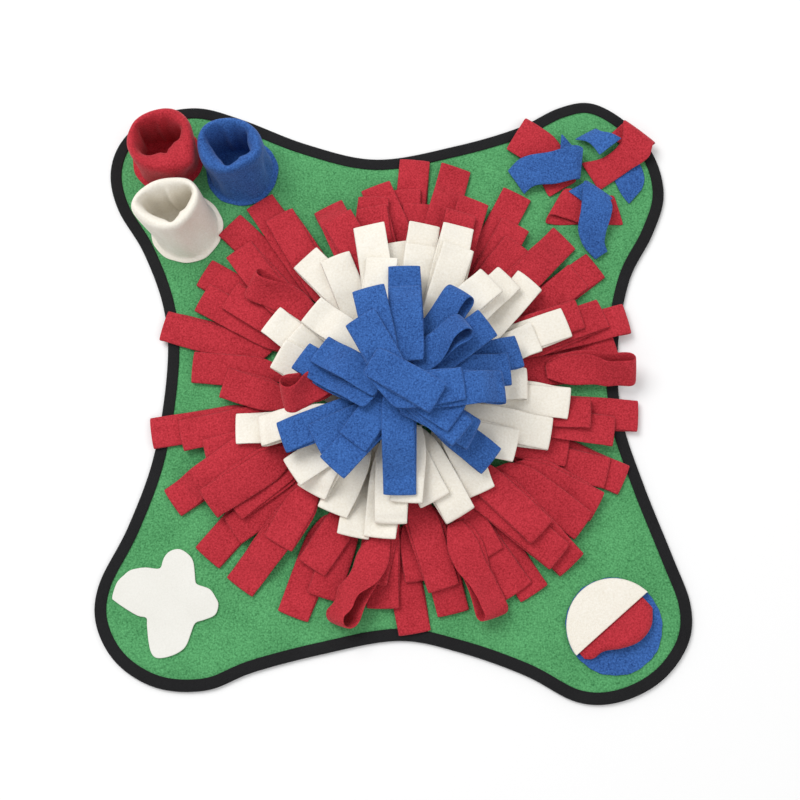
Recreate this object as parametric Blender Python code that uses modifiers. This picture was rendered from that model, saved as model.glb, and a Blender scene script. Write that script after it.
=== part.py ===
"""Snuffle mat: a four-lobed fleece mat with a rosette of folded loops and four corner toys.

Metres, +Z up. The origin is on the underside of the mat, at the middle of the rosette, and +Y points
to the lobes that carry the cups and the ribbons. The mat lies flat on z = 0.
"""
import math
from typing import NamedTuple

import bmesh
import bpy
import numpy as np
from mathutils import Vector

MM = 0.001

# ---- driving dimensions ------------------------------------------------------------------------
PANEL_THICK = 3.0 * MM        # fleece face and its backing, felted together
PANEL_RIM_LIFT = 1.3 * MM     # the rim rides on the tape's lower leg
PANEL_RIM_TOP = 3.3 * MM
TAPE_WIDTH = 12.0 * MM        # how far the binding reaches in over the mat
TAPE_THICK = 1.0 * MM
GAP = 0.3 * MM                # between touching pieces
TAPE_TOP = PANEL_RIM_TOP + GAP + TAPE_THICK
PANEL_STEP_IN = 8.0 * MM      # from the tape's edge to where the panel has its whole thickness
TAPE_BRIM = 1.5               # mm past the edge over which the tape counts as part of the pile
OUTLINE_STEPS = 2             # stations for each span of the outline

STRIP_WIDTH = 32.0 * MM       # every fleece strip of the rosette
STRIP_THICK = 1.5 * MM
PLY_GAP = 0.4 * MM            # air between the two legs of a flat loop
CLEARANCE = 0.5 * MM          # air between a strip and the pile that it lies on
STEEPEST = 1.2                # climb of a leg over the pile, rise over run
GATHER_RUN = 30.0             # mm; a strip has its whole width this far from where it is sewn
ROOT_SHARE = 0.4              # share of its width that is left where it is gathered and sewn
LEANS = (0.0, -0.15, 0.15, -0.3, 0.3)   # tilts across a strip that a leg may take, rise over run
LONG_LEG = 85.0               # mm; a longer leg may bend twice between its root and its tip
SHORT_SHARE = 0.45            # most of a leg's length that its gathering may take
LEAN_GAIN = 0.5               # mm that a tilt must lower a leg before it is used
BEND_MARGIN = 5.0             # mm between a leg's extra bend and its ends
ROOT_NEAR = 0.05              # least share of the way to the next root at which its height counts
OPEN_FROM = 0.8               # share of an open loop's length where its tip begins to open
# An open loop's tip: share of its length, share of its eye, and whether it has turned back.
OPEN_TIP = ((0.86, 0.0, 0), (0.96, 0.12, 0), (1.0, 0.5, 1), (0.96, 0.88, 1), (0.86, 1.0, 1))
OPEN_TAPER = 0.7              # power by which an open loop closes towards its root

CUP_HEIGHT = 60.0 * MM
CUP_SIDES = 12

CLOVER_THICK = 2.0 * MM
BALL_RADIUS = 47.0 * MM
BALL_THICK = 1.8 * MM
BALL_SIDES = 24
FLEECE_ROUGHNESS = 0.9
TAPE_ROUGHNESS = 0.8

# ---- colours, linear ---------------------------------------------------------------------------
GREEN = (0.075, 0.342, 0.107)
BLACK = (0.012, 0.012, 0.013)
RED = (0.479, 0.022, 0.035)
WHITE = (0.86, 0.82, 0.74)
BLUE = (0.028, 0.112, 0.381)
FELT = (0.83, 0.81, 0.77)
COLOURS = {"red": RED, "white": WHITE, "blue": BLUE}

# ---- outline of the mat, clockwise from the left waist: x, y in mm -----------------------------
OUTLINE = (
    (-234, 30), (-240, 92), (-263, 152), (-291, 198), (-301, 238), (-291, 274), (-262, 301),
    (-214, 312), (-165, 299), (-96, 271), (-22, 254), (60, 269), (125, 289), (170, 312),
    (206, 317), (243, 294), (269, 257), (277, 213), (263, 170), (238, 122), (224, 53),
    (225, -20), (244, -88), (270, -160), (286, -208), (282, -246), (255, -281), (214, -301),
    (172, -301), (123, -276), (60, -254), (0, -243), (-74, -256), (-140, -273), (-184, -290),
    (-232, -288), (-272, -265), (-294, -228), (-293, -188), (-267, -132), (-244, -60),
)


class Loop(NamedTuple):
    """One folded loop of a band, seen from above."""
    bearing: float      # degrees from +X to the middle of its tip edge
    reach: float        # mm from the rosette's middle to the tip edge
    skew: float         # degrees that the strip is turned from the radius
    gather: float = ROOT_SHARE


class Band(NamedTuple):
    """One strip folded back and forth, its loops from the lowest up."""
    name: str
    colour: str
    root: float         # mm from the middle to where its first loop is sewn down
    step: float         # mm that each later loop is sewn further in
    loops: tuple


# Each row lies on the rows above it.
BANDS = (
    Band("red_n", "red", 140, 12, (Loop(86, 252, 0), Loop(88, 218, 4), Loop(84, 202, 3), Loop(96, 221, 14))),
    Band("red_ne", "red", 140, 14, (Loop(60, 248, 3), Loop(56, 217, 4), Loop(52, 200, 3))),
    Band("red_e_low", "red", 140, 14, (Loop(339, 240, -4), Loop(339, 222, 6), Loop(341, 178, 8))),
    Band("red_e", "red", 140, 11,
         (Loop(355, 241, 2), Loop(350, 218, 0), Loop(354, 192, 1), Loop(13, 226, 3), Loop(9, 196, -3))),
    Band("red_se_low", "red", 140, 14, (Loop(304, 238, 0), Loop(301, 228, 4), Loop(299, 184, 0))),
    Band("red_s", "red", 140, 12,
         (Loop(274, 236, 7), Loop(277, 186, 1), Loop(284, 223, -1), Loop(283, 198, 6))),
    Band("red_sw_low", "red", 140, 14, (Loop(245, 242, 3), Loop(250, 214, 2), Loop(244, 192, -8))),
    Band("red_wsw_low", "red", 140, 14, (Loop(221, 248, 7), Loop(220, 212, -4), Loop(215, 198, 1))),
    Band("red_w_low", "red", 140, 14, (Loop(189, 249, 1), Loop(191, 220, 1), Loop(198, 200, -3))),
    Band("red_nw", "red", 140, 12,
         (Loop(163, 249, 3), Loop(147, 237, 4), Loop(153, 224, -2), Loop(149, 199, 2))),
    Band("red_nnw", "red", 140, 12,
         (Loop(134, 251, 3), Loop(137, 224, -7), Loop(125, 251, 1), Loop(123, 225, 0))),
    Band("red_nne", "red", 138, 14, (Loop(76, 250, 0), Loop(69, 219, 2), Loop(71, 199, 7))),
    Band("red_ene", "red", 140, 13, (Loop(34, 245, 3), Loop(34, 223, 4), Loop(44, 238, 2))),
    Band("red_e_high", "red", 140, 14, (Loop(19, 245, -3), Loop(22, 224, 2), Loop(24, 201, -5))),
    Band("red_se", "red", 140, 11,
         (Loop(330, 226, 1), Loop(324, 225, 1), Loop(315, 240, -1), Loop(314, 226, 6), Loop(315, 197, 1))),
    Band("red_ssw", "red", 118, 14, (Loop(266, 212, 4), Loop(262, 189, -4))),
    Band("red_sw", "red", 136, 15, (Loop(231, 246, 3), Loop(232, 190, 8))),
    Band("red_wsw", "red", 136, 15, (Loop(206, 248, 8), Loop(211, 216, 5))),
    Band("red_w", "red", 120, 15, (Loop(172, 209, 3), Loop(176, 175, -12))),
    Band("red_north_left", "red", 132, 11,
         (Loop(97, 207, -12), Loop(98, 195, 4), Loop(110, 211, 3), Loop(109, 190, 8))),
    Band("white_n", "white", 92, 8,
         (Loop(92, 149, 12), Loop(81, 172, 0), Loop(81, 147, 5), Loop(70, 178, 7), Loop(67, 155, 8))),
    Band("white_ne", "white", 92, 8,
         (Loop(23, 184, -2), Loop(22, 149, -1), Loop(41, 177, 7), Loop(46, 159, -2), Loop(49, 139, -4))),
    Band("white_e", "white", 86, 8,
         (Loop(356, 170, -5), Loop(3, 125, -3), Loop(344, 156, 7), Loop(334, 128, 12))),
    Band("white_se", "white", 76, 7, (Loop(308, 129, -16), Loop(296, 136, 5), Loop(288, 115, 10))),
    Band("white_s", "white", 84, 8,
         (Loop(253, 150, 6), Loop(263, 146, 1), Loop(267, 130, 2), Loop(274, 113, -7))),
    Band("white_sw", "white", 80, 8, (Loop(242, 136, 6), Loop(230, 131, 9), Loop(219, 131, -4))),
    Band("white_w", "white", 86, 12, (Loop(193, 164, -9), Loop(197, 138, -8))),
    Band("white_nw", "white", 80, 9, (Loop(150, 147, -6), Loop(148, 118, -8), Loop(163, 124, -12))),
    Band("white_nnw", "white", 88, 9,
         (Loop(124, 168, 7), Loop(115, 150, -2), Loop(100, 169, -2), Loop(97, 130, -14))),
    Band("blue_sw", "blue", 46, 8,
         (Loop(205, 123, -6), Loop(215, 97, -10), Loop(233, 104, -5), Loop(234, 73, -2))),
    Band("blue_e", "blue", 46, 9, (Loop(17, 123, 1), Loop(8, 109, -2), Loop(33, 103, 2))),
    Band("blue_n", "blue", 44, 24, (Loop(87, 118, 4), Loop(86, 91, 5, 0.7))),
    Band("blue_w", "blue", 38, 22, (Loop(163, 99, -15), Loop(155, 84, -7, 0.7))),
    Band("blue_s", "blue", 22, 10, (Loop(271, 107, -1, 0.7),)),
    Band("blue_se", "blue", 44, 8,
         (Loop(321, 116, 0), Loop(324, 84, 10), Loop(319, 80, 2), Loop(324, 68, 0))),
    Band("blue_nw", "blue", 36, 26, (Loop(108, 91, -5), Loop(122, 68, -4, 0.8))),
    Band("blue_top", "blue", 32, 27, (Loop(356, 97, 10), Loop(353, 62, 14, 0.8), Loop(328, 44, 0, 1.0))),
)


class OpenLoop(NamedTuple):
    """A single loop whose tip stands open, so that food hides inside it."""
    name: str
    colour: str
    root: float
    eye: float          # mm of air inside the tip
    under: str          # the band that is laid over its root
    loop: Loop


OPEN_LOOPS = (
    OpenLoop("red_loop_e", "red", 150, 11, "red_e_high", Loop(5, 242, -4)),
    OpenLoop("red_loop_sse", "red", 140, 10, "white_n", Loop(292, 238, -4)),
    OpenLoop("red_loop_ssw", "red", 140, 12, "white_n", Loop(256, 236, -8)),
    OpenLoop("red_loop_nw", "red", 112, 10, "white_n", Loop(141, 187, 7)),
    OpenLoop("red_loop_w", "red", 60, 12, "blue_sw", Loop(182, 112, 6)),
    OpenLoop("blue_loop_ne", "blue", 40, 13, "blue_e", Loop(55, 119, -1)),
    OpenLoop("blue_loop_ene", "blue", 30, 10, "blue_n", Loop(34, 82, -8)),
)


class Cup(NamedTuple):
    """A soft fleece pouch, sewn down round its foot."""
    name: str
    colour: str
    foot: tuple         # x, y in mm of the middle of its foot
    mouth: tuple        # x, y in mm of the middle of its rim
    radius: float       # mm, outside the rim


CUPS = (
    Cup("cup_red", "red", (-241, 255), (-241, 257), 32),
    Cup("cup_blue", "blue", (-163, 244), (-169, 245), 32),
    Cup("cup_white", "white", (-220, 183), (-229, 185), 33),
)

# The cup's section: share of the radius, share of the height. Up the outside, over the rim, down inside.
CUP_SECTION = (
    (0.00, 0.00), (1.09, 0.00), (1.00, 0.12), (0.94, 0.50), (1.00, 0.88), (0.95, 1.00), (0.86, 0.97),
    (0.79, 0.50), (0.76, 0.10), (0.00, 0.08),
)


class Rung(NamedTuple):
    """One crease line across a loose ribbon, from its left end to its right end, in mm."""
    left_x: float
    left_y: float
    left_z: float
    right_x: float
    right_y: float
    right_z: float


RIBBONS = (
    ("ribbon_red_1", "red",
     (Rung(134, 299, 8, 113, 264, 7), Rung(163, 279, 6.5, 138, 246, 5), Rung(187, 229, 4.6, 157, 211, 4.6))),
    ("ribbon_red_2", "red",
     (Rung(191, 249, 6, 209, 218, 5.4), Rung(214, 254, 8.6, 243, 241, 8),
      Rung(233, 271, 10.8, 262, 254, 10.2), Rung(236, 293, 11, 267, 268, 10.4),
      Rung(236, 293, 7.6, 267, 268, 7.6), Rung(220, 279, 5.2, 245, 262, 5))),
    ("ribbon_red_3", "red",
     (Rung(223, 213, 4.4, 231, 181, 4.4), Rung(192, 214, 4.4, 193, 182, 4.4),
      Rung(174, 217, 4.6, 158, 187, 4.6), Rung(171, 217, 7, 155, 187, 7),
      Rung(175, 217, 9, 159, 187, 9), Rung(192, 212, 7.6, 189, 182, 7.6))),
    ("ribbon_blue_1", "blue",
     (Rung(171, 281, 9.5, 168, 249, 9.5), Rung(190, 263, 11, 186, 229, 10),
      Rung(192, 263, 13, 188, 229, 12), Rung(190, 264, 15, 186, 228, 14),
      Rung(126, 251, 12, 139, 220, 12), Rung(114, 240, 7, 131, 214, 6.6))),
    ("ribbon_blue_2", "blue",
     (Rung(208, 287, 7.5, 185, 275, 6.5), Rung(212, 281, 14, 197, 269, 12.5),
      Rung(233, 272, 15, 209, 253, 13.5))),
    ("ribbon_blue_3", "blue",
     (Rung(252, 251, 4.3, 223, 240, 4.3), Rung(258, 238, 4.3, 229, 227, 4.3),
      Rung(255, 220, 5, 242, 203, 4.5))),
    ("ribbon_blue_4", "blue",
     (Rung(176, 216, 10.6, 190, 205, 10.6), Rung(193, 226, 10.8, 220, 206, 10.8),
      Rung(193, 226, 13.4, 220, 206, 13.2), Rung(190, 196, 14, 221, 188, 13),
      Rung(185, 170, 12.6, 213, 168, 12), Rung(189, 152, 10, 214, 150, 10))),
)

CLOVER_CENTRE = (-225, -213)
# lobe direction in degrees, lobe length from the centre in mm, lobe half width in mm
CLOVER_LOBES = ((73, 52, 17), (0, 51, 16), (272, 49, 20), (162, 49, 17))
CLOVER_WAIST = 30             # mm from the centre to the notches between lobes
CLOVER_STEPS = 32

BALL_CENTRE = (210, -229)
BALL_CHORD = 40.7             # degrees from +X to the straight edge of the white flap
BALL_PLY = 0.5                # mm that the flaps' rims are drawn in from the disc's


class FlapStation(NamedTuple):
    """One station of the red half flap, in the ball's own frame, in mm."""
    run: float          # along the chord
    edge: float         # from the chord to the free edge
    crown: float        # how high the flap arches over the disc


RED_FLAP = (
    FlapStation(-43, 4, 0.0), FlapStation(-37, 9, 3.0), FlapStation(-26, 10, 6.0),
    FlapStation(-9, 20, 10.5),
    FlapStation(8, 26, 12.0), FlapStation(26, 23, 9.0), FlapStation(40, 11, 2.5),
)
RED_FLAP_TUCK = 9             # mm that the red flap goes in under the white one
RED_FLAP_HALF_RUN = 50        # mm along the chord at which the tuck runs out
FLAP_ARCH = ((0.2, 0.5), (0.5, 0.95), (0.8, 1.0), (1.0, 0.7))   # share across, share of crown
FLAP_MOUTH = (1.0, 0.8)       # mm past the white edge, and mm up, where the red flap comes out
WHITE_FLAP_SIDES = 10
WHITE_FLAP_EDGE = -3.4        # mm from the ball's middle to the white flap's straight edge
WHITE_FLAP_SPRING = 4.2       # mm that its straight edge stands over the disc
WHITE_FLAP_DROOP = 0.35       # share of that spring lost at the two ends
WHITE_FLAP_ROWS = (0.0, 0.35, 0.7, 1.0)   # shares from the rim to the straight edge
WHITE_FLAP_LEAST = 1.5        # mm from rim to edge at its two ends
WHITE_FLAP_RUN = 0.995        # share of the radius that its ends reach


def to_polar(bearing: float, reach: float) -> np.ndarray:
    """Return the plan point at a bearing in degrees and a distance from the middle."""
    turn = math.radians(bearing)
    return reach * np.array((math.cos(turn), math.sin(turn)))


def make_material(name: str, colour: tuple, roughness: float) -> bpy.types.Material:
    """Return the Principled material of one cloth, made once for each name."""
    material = bpy.data.materials.get(name)
    if material is None:
        material = bpy.data.materials.new(name)
        material.use_nodes = True
        shader = material.node_tree.nodes["Principled BSDF"]
        shader.inputs["Base Color"].default_value = (*colour, 1.0)
        shader.inputs["Roughness"].default_value = roughness
        shader.inputs["Metallic"].default_value = 0.0
    return material


def add_object(name: str, mesh: bmesh.types.BMesh, colour: tuple,
               roughness: float = FLEECE_ROUGHNESS) -> bpy.types.Object:
    """Turn a bmesh into a named object of the mat's collection, with a material of its own."""
    bmesh.ops.recalc_face_normals(mesh, faces=mesh.faces)
    data = bpy.data.meshes.new(name)
    mesh.to_mesh(data)
    mesh.free()
    item = bpy.data.objects.new(name, data)
    bpy.data.collections["snuffle_mat"].objects.link(item)
    data.materials.append(make_material("mat_" + name, colour, roughness))
    return item


# ---- mat panel and binding ---------------------------------------------------------------------
def outline_points() -> np.ndarray:
    """Return the stations of the closed smooth curve through OUTLINE, in mm, counter-clockwise."""
    knots = np.array(OUTLINE[::-1], dtype=float)
    before, after, beyond = np.roll(knots, 1, 0), np.roll(knots, -1, 0), np.roll(knots, -2, 0)
    stations = []
    for step in range(OUTLINE_STEPS):
        u = step / OUTLINE_STEPS
        bend = (2 * before - 5 * knots + 4 * after - beyond) * u**2
        twist = (-before + 3 * knots - 3 * after + beyond) * u**3
        stations.append(0.5 * (2 * knots + (after - before) * u + bend + twist))
    return np.stack(stations, axis=1).reshape(-1, 2)


def inset_outline(points: np.ndarray, inset: float) -> np.ndarray:
    """Return the outline moved inwards by a distance in mm."""
    along = np.roll(points, -1, 0) - np.roll(points, 1, 0)
    along /= np.linalg.norm(along, axis=1, keepdims=True)
    inwards = np.stack((-along[:, 1], along[:, 0]), axis=1)
    return points + inwards * inset


def loft_outline(rows: list, closed: bool) -> bmesh.types.BMesh:
    """Loft the outline through rows of (inset, height) in metres; an open loft gets two flat caps."""
    mesh = bmesh.new()
    outline = outline_points()
    rings = []
    for inset, height in rows:
        ring = inset_outline(outline, inset / MM) * MM
        rings.append([mesh.verts.new((x, y, height)) for x, y in ring])
    pairs = list(zip(rings, rings[1:]))
    if closed:
        pairs.append((rings[-1], rings[0]))
    for lower, upper in pairs:
        for here, there in zip(range(len(lower)), np.roll(range(len(lower)), -1)):
            mesh.faces.new((lower[here], lower[there], upper[there], upper[here]))
    if not closed:
        mesh.faces.new(rings[0][::-1])
        mesh.faces.new(rings[-1])
    return mesh


def build_panel() -> None:
    """Make the green base, its rim lifted onto the tape's lower leg."""
    step = TAPE_WIDTH + 2 * GAP
    edge = TAPE_THICK + GAP
    rows = [(step, 0.0), (step, PANEL_RIM_LIFT), (edge, PANEL_RIM_LIFT), (edge, PANEL_RIM_TOP),
            (TAPE_WIDTH + PANEL_STEP_IN, PANEL_THICK)]
    add_object("mat_panel", loft_outline(rows, closed=False), GREEN)


def build_binding() -> None:
    """Make the tape folded round the whole edge, one U section swept along the outline."""
    top = TAPE_TOP
    inner_top = PANEL_RIM_TOP + GAP
    rows = [(TAPE_WIDTH, 0.0), (0.0, 0.0), (0.0, top), (TAPE_WIDTH, top), (TAPE_WIDTH, inner_top),
            (TAPE_THICK, inner_top), (TAPE_THICK, TAPE_THICK), (TAPE_WIDTH, TAPE_THICK)]
    add_object("binding", loft_outline(rows, closed=True), BLACK, roughness=TAPE_ROUGHNESS)


# ---- the pile of strips ------------------------------------------------------------------------
LIFT = (CLEARANCE + 0.6 * STRIP_THICK) / MM     # from the pile to the middle of a strip on it
LEAST_RISE = (STRIP_THICK + PLY_GAP) / MM       # from one leg of a flat loop to the other
STEEP_MOST = 1.5              # slope above which a strip's upright thickness is taken as no more
SETTLE_ROUNDS = 120           # tries to lift a leg's stops over the heights needed
SETTLE_CLOSE = 0.02           # mm short of them that is close enough


class Rest(NamedTuple):
    """A crease line of a strip: its middle in plan, half its width as a vector, its height and lean."""
    middle: np.ndarray
    half: np.ndarray
    height: float       # at its middle
    lean: float         # rise over run across the strip, towards +half


class Pile:
    """The height of the heap so far, in mm, on a 1 mm grid seen from above."""

    REACH = 340
    MARGIN = 0.4

    def __init__(self, floor: float) -> None:
        side = 2 * self.REACH
        self.top = np.full((side, side), floor)

    def footprint(self, start: tuple, end: tuple) -> tuple:
        """Return shares along a strip, distances across it, and the grid cells that it covers there."""
        (a, half_a), (b, half_b) = start, end
        length = max(float(np.linalg.norm(b - a)), 1.0)
        along = np.linspace(-self.MARGIN / length, 1 + self.MARGIN / length, int(length) + 4)
        width = float(np.linalg.norm(half_b))
        across = np.linspace(-1 - self.MARGIN / width, 1 + self.MARGIN / width, int(2 * width) + 5)
        middle = a + along[:, None] * (b - a)
        half = half_a + along[:, None] * (half_b - half_a)
        plan = middle[:, None, :] + across[None, :, None] * half[:, None, :]
        cells = np.round(plan).astype(int) + self.REACH
        return np.clip(along, 0.0, 1.0), across * np.linalg.norm(half, axis=1)[:, None], cells

    def under(self, start: tuple, end: tuple, lean: float) -> tuple:
        """Return shares along a strip and the height that its middle needs there."""
        along, off, cells = self.footprint(start, end)
        highest = self.top[cells[..., 0], cells[..., 1]]
        for east, north in ((1, 0), (-1, 0), (0, 1), (0, -1)):
            highest = np.maximum(highest, self.top[cells[..., 0] + east, cells[..., 1] + north])
        return along, np.max(highest - lean * off, axis=1) + LIFT

    def cover(self, start: Rest, end: Rest, thick: float) -> None:
        """Raise the heap to the upper face of a strip that lies from start to end."""
        along, off, cells = self.footprint(start[:2], end[:2])
        run = max(float(np.linalg.norm(end.middle - start.middle)), 1.0)
        steep = math.hypot(1.0, min(abs(end.height - start.height) / run, STEEP_MOST), start.lean)
        face = start.height + along * (end.height - start.height) + 0.5 * thick * steep
        np.maximum.at(self.top, (cells[..., 0], cells[..., 1]), face[:, None] + start.lean * off)


def cover_binding(pile: Pile) -> None:
    """Put the tape's upper leg on the pile's grid, so that loops lie over it."""
    outline = outline_points()
    middles = inset_outline(outline, 0.5 * TAPE_WIDTH / MM)
    edges = inset_outline(outline, -TAPE_BRIM)
    top = TAPE_TOP / MM
    stops = [Rest(middle, edge - middle, top, 0.0) for middle, edge in zip(middles, edges)]
    for here, there in zip(stops, stops[1:] + stops[:1]):
        pile.cover(here, there, 0.0)


def limit_slope(run: np.ndarray, need: np.ndarray) -> np.ndarray:
    """Return the heights needed along a leg once it climbs no steeper than STEEPEST."""
    slack = need[None, :] - STEEPEST * np.abs(run[None, :] - run[:, None])
    return slack.max(axis=1)


def taut_line(run: np.ndarray, need: np.ndarray, most: int) -> list:
    """Return the corners of a string pulled tight over the heights needed, with few inner corners."""
    corners = []
    for point in zip(run.tolist(), need.tolist()):
        while len(corners) > 1:
            (x0, z0), (x1, z1) = corners[-2:]
            if (z1 - z0) * (point[0] - x1) > (point[1] - z1) * (x1 - x0):
                break
            corners.pop()
        corners.append(point)
    while len(corners) - 2 > most:
        choices = [join_corners(corners[at - 1:at + 3]) + (at,) for at in range(1, len(corners) - 2)]
        _, corner, at = min(choices)
        corners[at:at + 2] = [corner]
    return corners


def join_corners(four: list) -> tuple:
    """Return the area added, and the corner made, when the two middle corners of four become one."""
    (x0, z0), (x1, z1), (x2, z2), (x3, z3) = four
    rise, fall = (z1 - z0) / (x1 - x0), (z3 - z2) / (x3 - x2)
    x = (z2 - z1 + rise * x1 - fall * x2) / (rise - fall)
    z = z1 + rise * (x - x1)
    area = 0.5 * abs((x1 - x) * (z2 - z) - (x2 - x) * (z1 - z))
    return area, (x, z)


def stop_heights(run: np.ndarray, need: np.ndarray, stops: list) -> np.ndarray:
    """Return the heights of a leg at its stops whose straight spans clear the heights needed."""
    heights = np.interp(stops, run, need)
    span = np.clip(np.searchsorted(stops, run, side="right") - 1, 0, len(stops) - 2)
    share = (run - np.take(stops, span)) / (np.take(stops, span + 1) - np.take(stops, span))
    for _ in range(SETTLE_ROUNDS):
        short = need - (heights[span] * (1 - share) + heights[span + 1] * share)
        worst = int(np.argmax(short))
        if short[worst] < SETTLE_CLOSE:
            break
        u, at = share[worst], span[worst]
        lift = short[worst] / ((1 - u) ** 2 + u**2)
        heights[at] += lift * (1 - u)
        heights[at + 1] += lift * u
    short = need - (heights[span] * (1 - share) + heights[span + 1] * share)
    return heights + max(float(short.max()), 0.0)


def loop_frame(loop: Loop, root: float) -> tuple:
    """Return a loop's root, its outward direction in plan, and half its width as a vector."""
    direction = to_polar(loop.bearing + loop.skew, 1.0)
    length = loop.reach - root
    start = to_polar(loop.bearing, loop.reach) - direction * length
    half = np.array((-direction[1], direction[0])) * STRIP_WIDTH / MM / 2
    return start, direction, half, length


def lay_leg(pile: Pile, start: np.ndarray, direction: np.ndarray, half: np.ndarray, length: float,
            gather: float, root_floor: float) -> tuple:
    """Lay a loop's lower leg on the pile; return its creases and the rise to its upper leg."""
    gathered = min(GATHER_RUN, SHORT_SHARE * length)
    places = [(start, half * gather), (start + direction * gathered, half),
              (start + direction * length, half)]
    lowest = None
    for lean in LEANS:
        share, need = pile.under(places[0], places[1], lean)
        outer_share, outer_need = pile.under(places[1], places[2], lean)
        run = np.concatenate((share * gathered, gathered + outer_share * (length - gathered)))
        run, index = np.unique(run, return_inverse=True)
        highest = np.zeros(len(run))
        np.maximum.at(highest, index, np.concatenate((need, outer_need)))
        highest[0] = max(highest[0], root_floor)
        highest = limit_slope(run, highest)
        if lowest is None or highest.mean() < lowest[1].mean() - LEAN_GAIN:
            lowest = (lean, highest)
    lean, need = lowest
    outer = run >= gathered
    corners = []
    if length > LONG_LEG:
        corners = taut_line(run[outer], need[outer], 1)[1:-1]
    bends = [x for x, _ in corners if gathered + BEND_MARGIN < x < length - BEND_MARGIN]
    stops = [0.0, gathered] + bends + [length]
    halves = [half * gather] + [half] * (len(stops) - 1)
    creases = [Rest(start + direction * stop, side, height, lean)
               for stop, side, height in zip(stops, halves, stop_heights(run, need, stops))]
    slopes = [abs(b.height - a.height) / float(np.linalg.norm(b.middle - a.middle))
              for a, b in zip(creases, creases[1:])]
    return creases, LEAST_RISE * math.hypot(1.0, max(slopes), lean)


def raised(stop: Rest, rise: float) -> Rest:
    """Return a crease line moved up."""
    return stop._replace(height=stop.height + rise)


def lay_band(pile: Pile, band: Band) -> list:
    """Fold a band onto the pile, loop after loop; return its creases in order along the strip."""
    thick = STRIP_THICK / MM
    creases = []
    for number, loop in enumerate(band.loops):
        start, direction, half, length = loop_frame(loop, band.root - band.step * number)
        length -= thick / 2
        upcoming = None
        root_floor = 0.0
        if number + 1 < len(band.loops):
            upcoming = loop_frame(band.loops[number + 1], band.root - band.step * (number + 1))
            ends = (start, half * loop.gather), (upcoming[0], upcoming[2] * band.loops[number + 1].gather)
            root_floor = max(float(pile.under(*ends, lean)[1].max()) for lean in LEANS) - LEAST_RISE
        lower, rise = lay_leg(pile, start, direction, half, length, loop.gather, root_floor)
        upper = [raised(stop, rise) for stop in reversed(lower)]
        creases += lower + upper
        if upcoming is not None:
            root = upper[-1]
            share, need = pile.under(*ends, root.lean)
            share = np.maximum(share, ROOT_NEAR)
            run = float(np.linalg.norm(upcoming[0] - start))
            inner = max(float(np.max((need - (1 - share) * root.height) / share)), float(need[-1]),
                        root.height - STEEPEST * run)
            creases.append(Rest(*ends[1], min(inner, root.height), root.lean))
            pile.cover(root, creases[-1], thick)
        for a, b in zip(upper, upper[1:]):
            pile.cover(a, b, thick)
    return creases


def lay_open_loop(pile: Pile, item: OpenLoop) -> list:
    """Fold a loop whose tip stands open; return its creases in order along the strip."""
    thick = STRIP_THICK / MM
    start, direction, half, length = loop_frame(item.loop, item.root)
    length -= thick / 2
    lower, rise = lay_leg(pile, start, direction, half, length, item.loop.gather, 0.0)
    runs = [float(np.linalg.norm(stop.middle - start)) for stop in lower]
    inner = [(stop, run / length) for stop, run in zip(lower, runs) if run < OPEN_FROM * length]
    creases = [stop for stop, _ in inner]
    for share, up, turned in OPEN_TIP:
        height = float(np.interp(share * length, runs, [stop.height for stop in lower]))
        stop = Rest(start + direction * length * share, half, height, lower[0].lean)
        creases.append(raised(stop, turned * rise + up * item.eye))
    creases += [raised(stop, rise + item.eye * share**OPEN_TAPER) for stop, share in reversed(inner)]
    over = creases[-3 - len(inner):]
    for a, b in zip(over, over[1:]):
        pile.cover(a, b, thick)
    return creases


def strip_object(name: str, rails: list, colour: tuple) -> None:
    """Make a strip from its crease lines, each a pair of points in metres, with Solidify for its cloth."""
    mesh = bmesh.new()
    edges = [(mesh.verts.new(left), mesh.verts.new(right)) for left, right in rails]
    for (left_a, right_a), (left_b, right_b) in zip(edges, edges[1:]):
        mesh.faces.new((left_a, right_a, right_b, left_b))
    item = add_object(name, mesh, colour)
    cloth = item.modifiers.new("cloth", "SOLIDIFY")
    cloth.thickness = STRIP_THICK
    cloth.offset = 0.0
    cloth.use_even_offset = False


def crease_rails(creases: list) -> list:
    """Return the two ends of each crease line, in metres."""
    rails = []
    for stop in creases:
        tilt = stop.lean * float(np.linalg.norm(stop.half))
        left = Vector((*(stop.middle + stop.half), stop.height + tilt)) * MM
        right = Vector((*(stop.middle - stop.half), stop.height - tilt)) * MM
        rails.append((left, right))
    return rails


def build_rosette() -> None:
    """Lay every band and open loop of the rosette, from the mat up."""
    pile = Pile(PANEL_RIM_TOP / MM)
    cover_binding(pile)
    for band in BANDS:
        for item in OPEN_LOOPS:
            if item.under == band.name:
                strip_object(item.name, crease_rails(lay_open_loop(pile, item)), COLOURS[item.colour])
        strip_object(band.name, crease_rails(lay_band(pile, band)), COLOURS[band.colour])


def build_ribbons() -> None:
    """Make the loose ribbons of the top right lobe."""
    for name, colour, rungs in RIBBONS:
        rails = []
        for rung in rungs:
            left = Vector((rung.left_x, rung.left_y, rung.left_z)) * MM
            right = Vector((rung.right_x, rung.right_y, rung.right_z)) * MM
            rails.append((left, right))
        strip_object(name, rails, COLOURS[colour])


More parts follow.
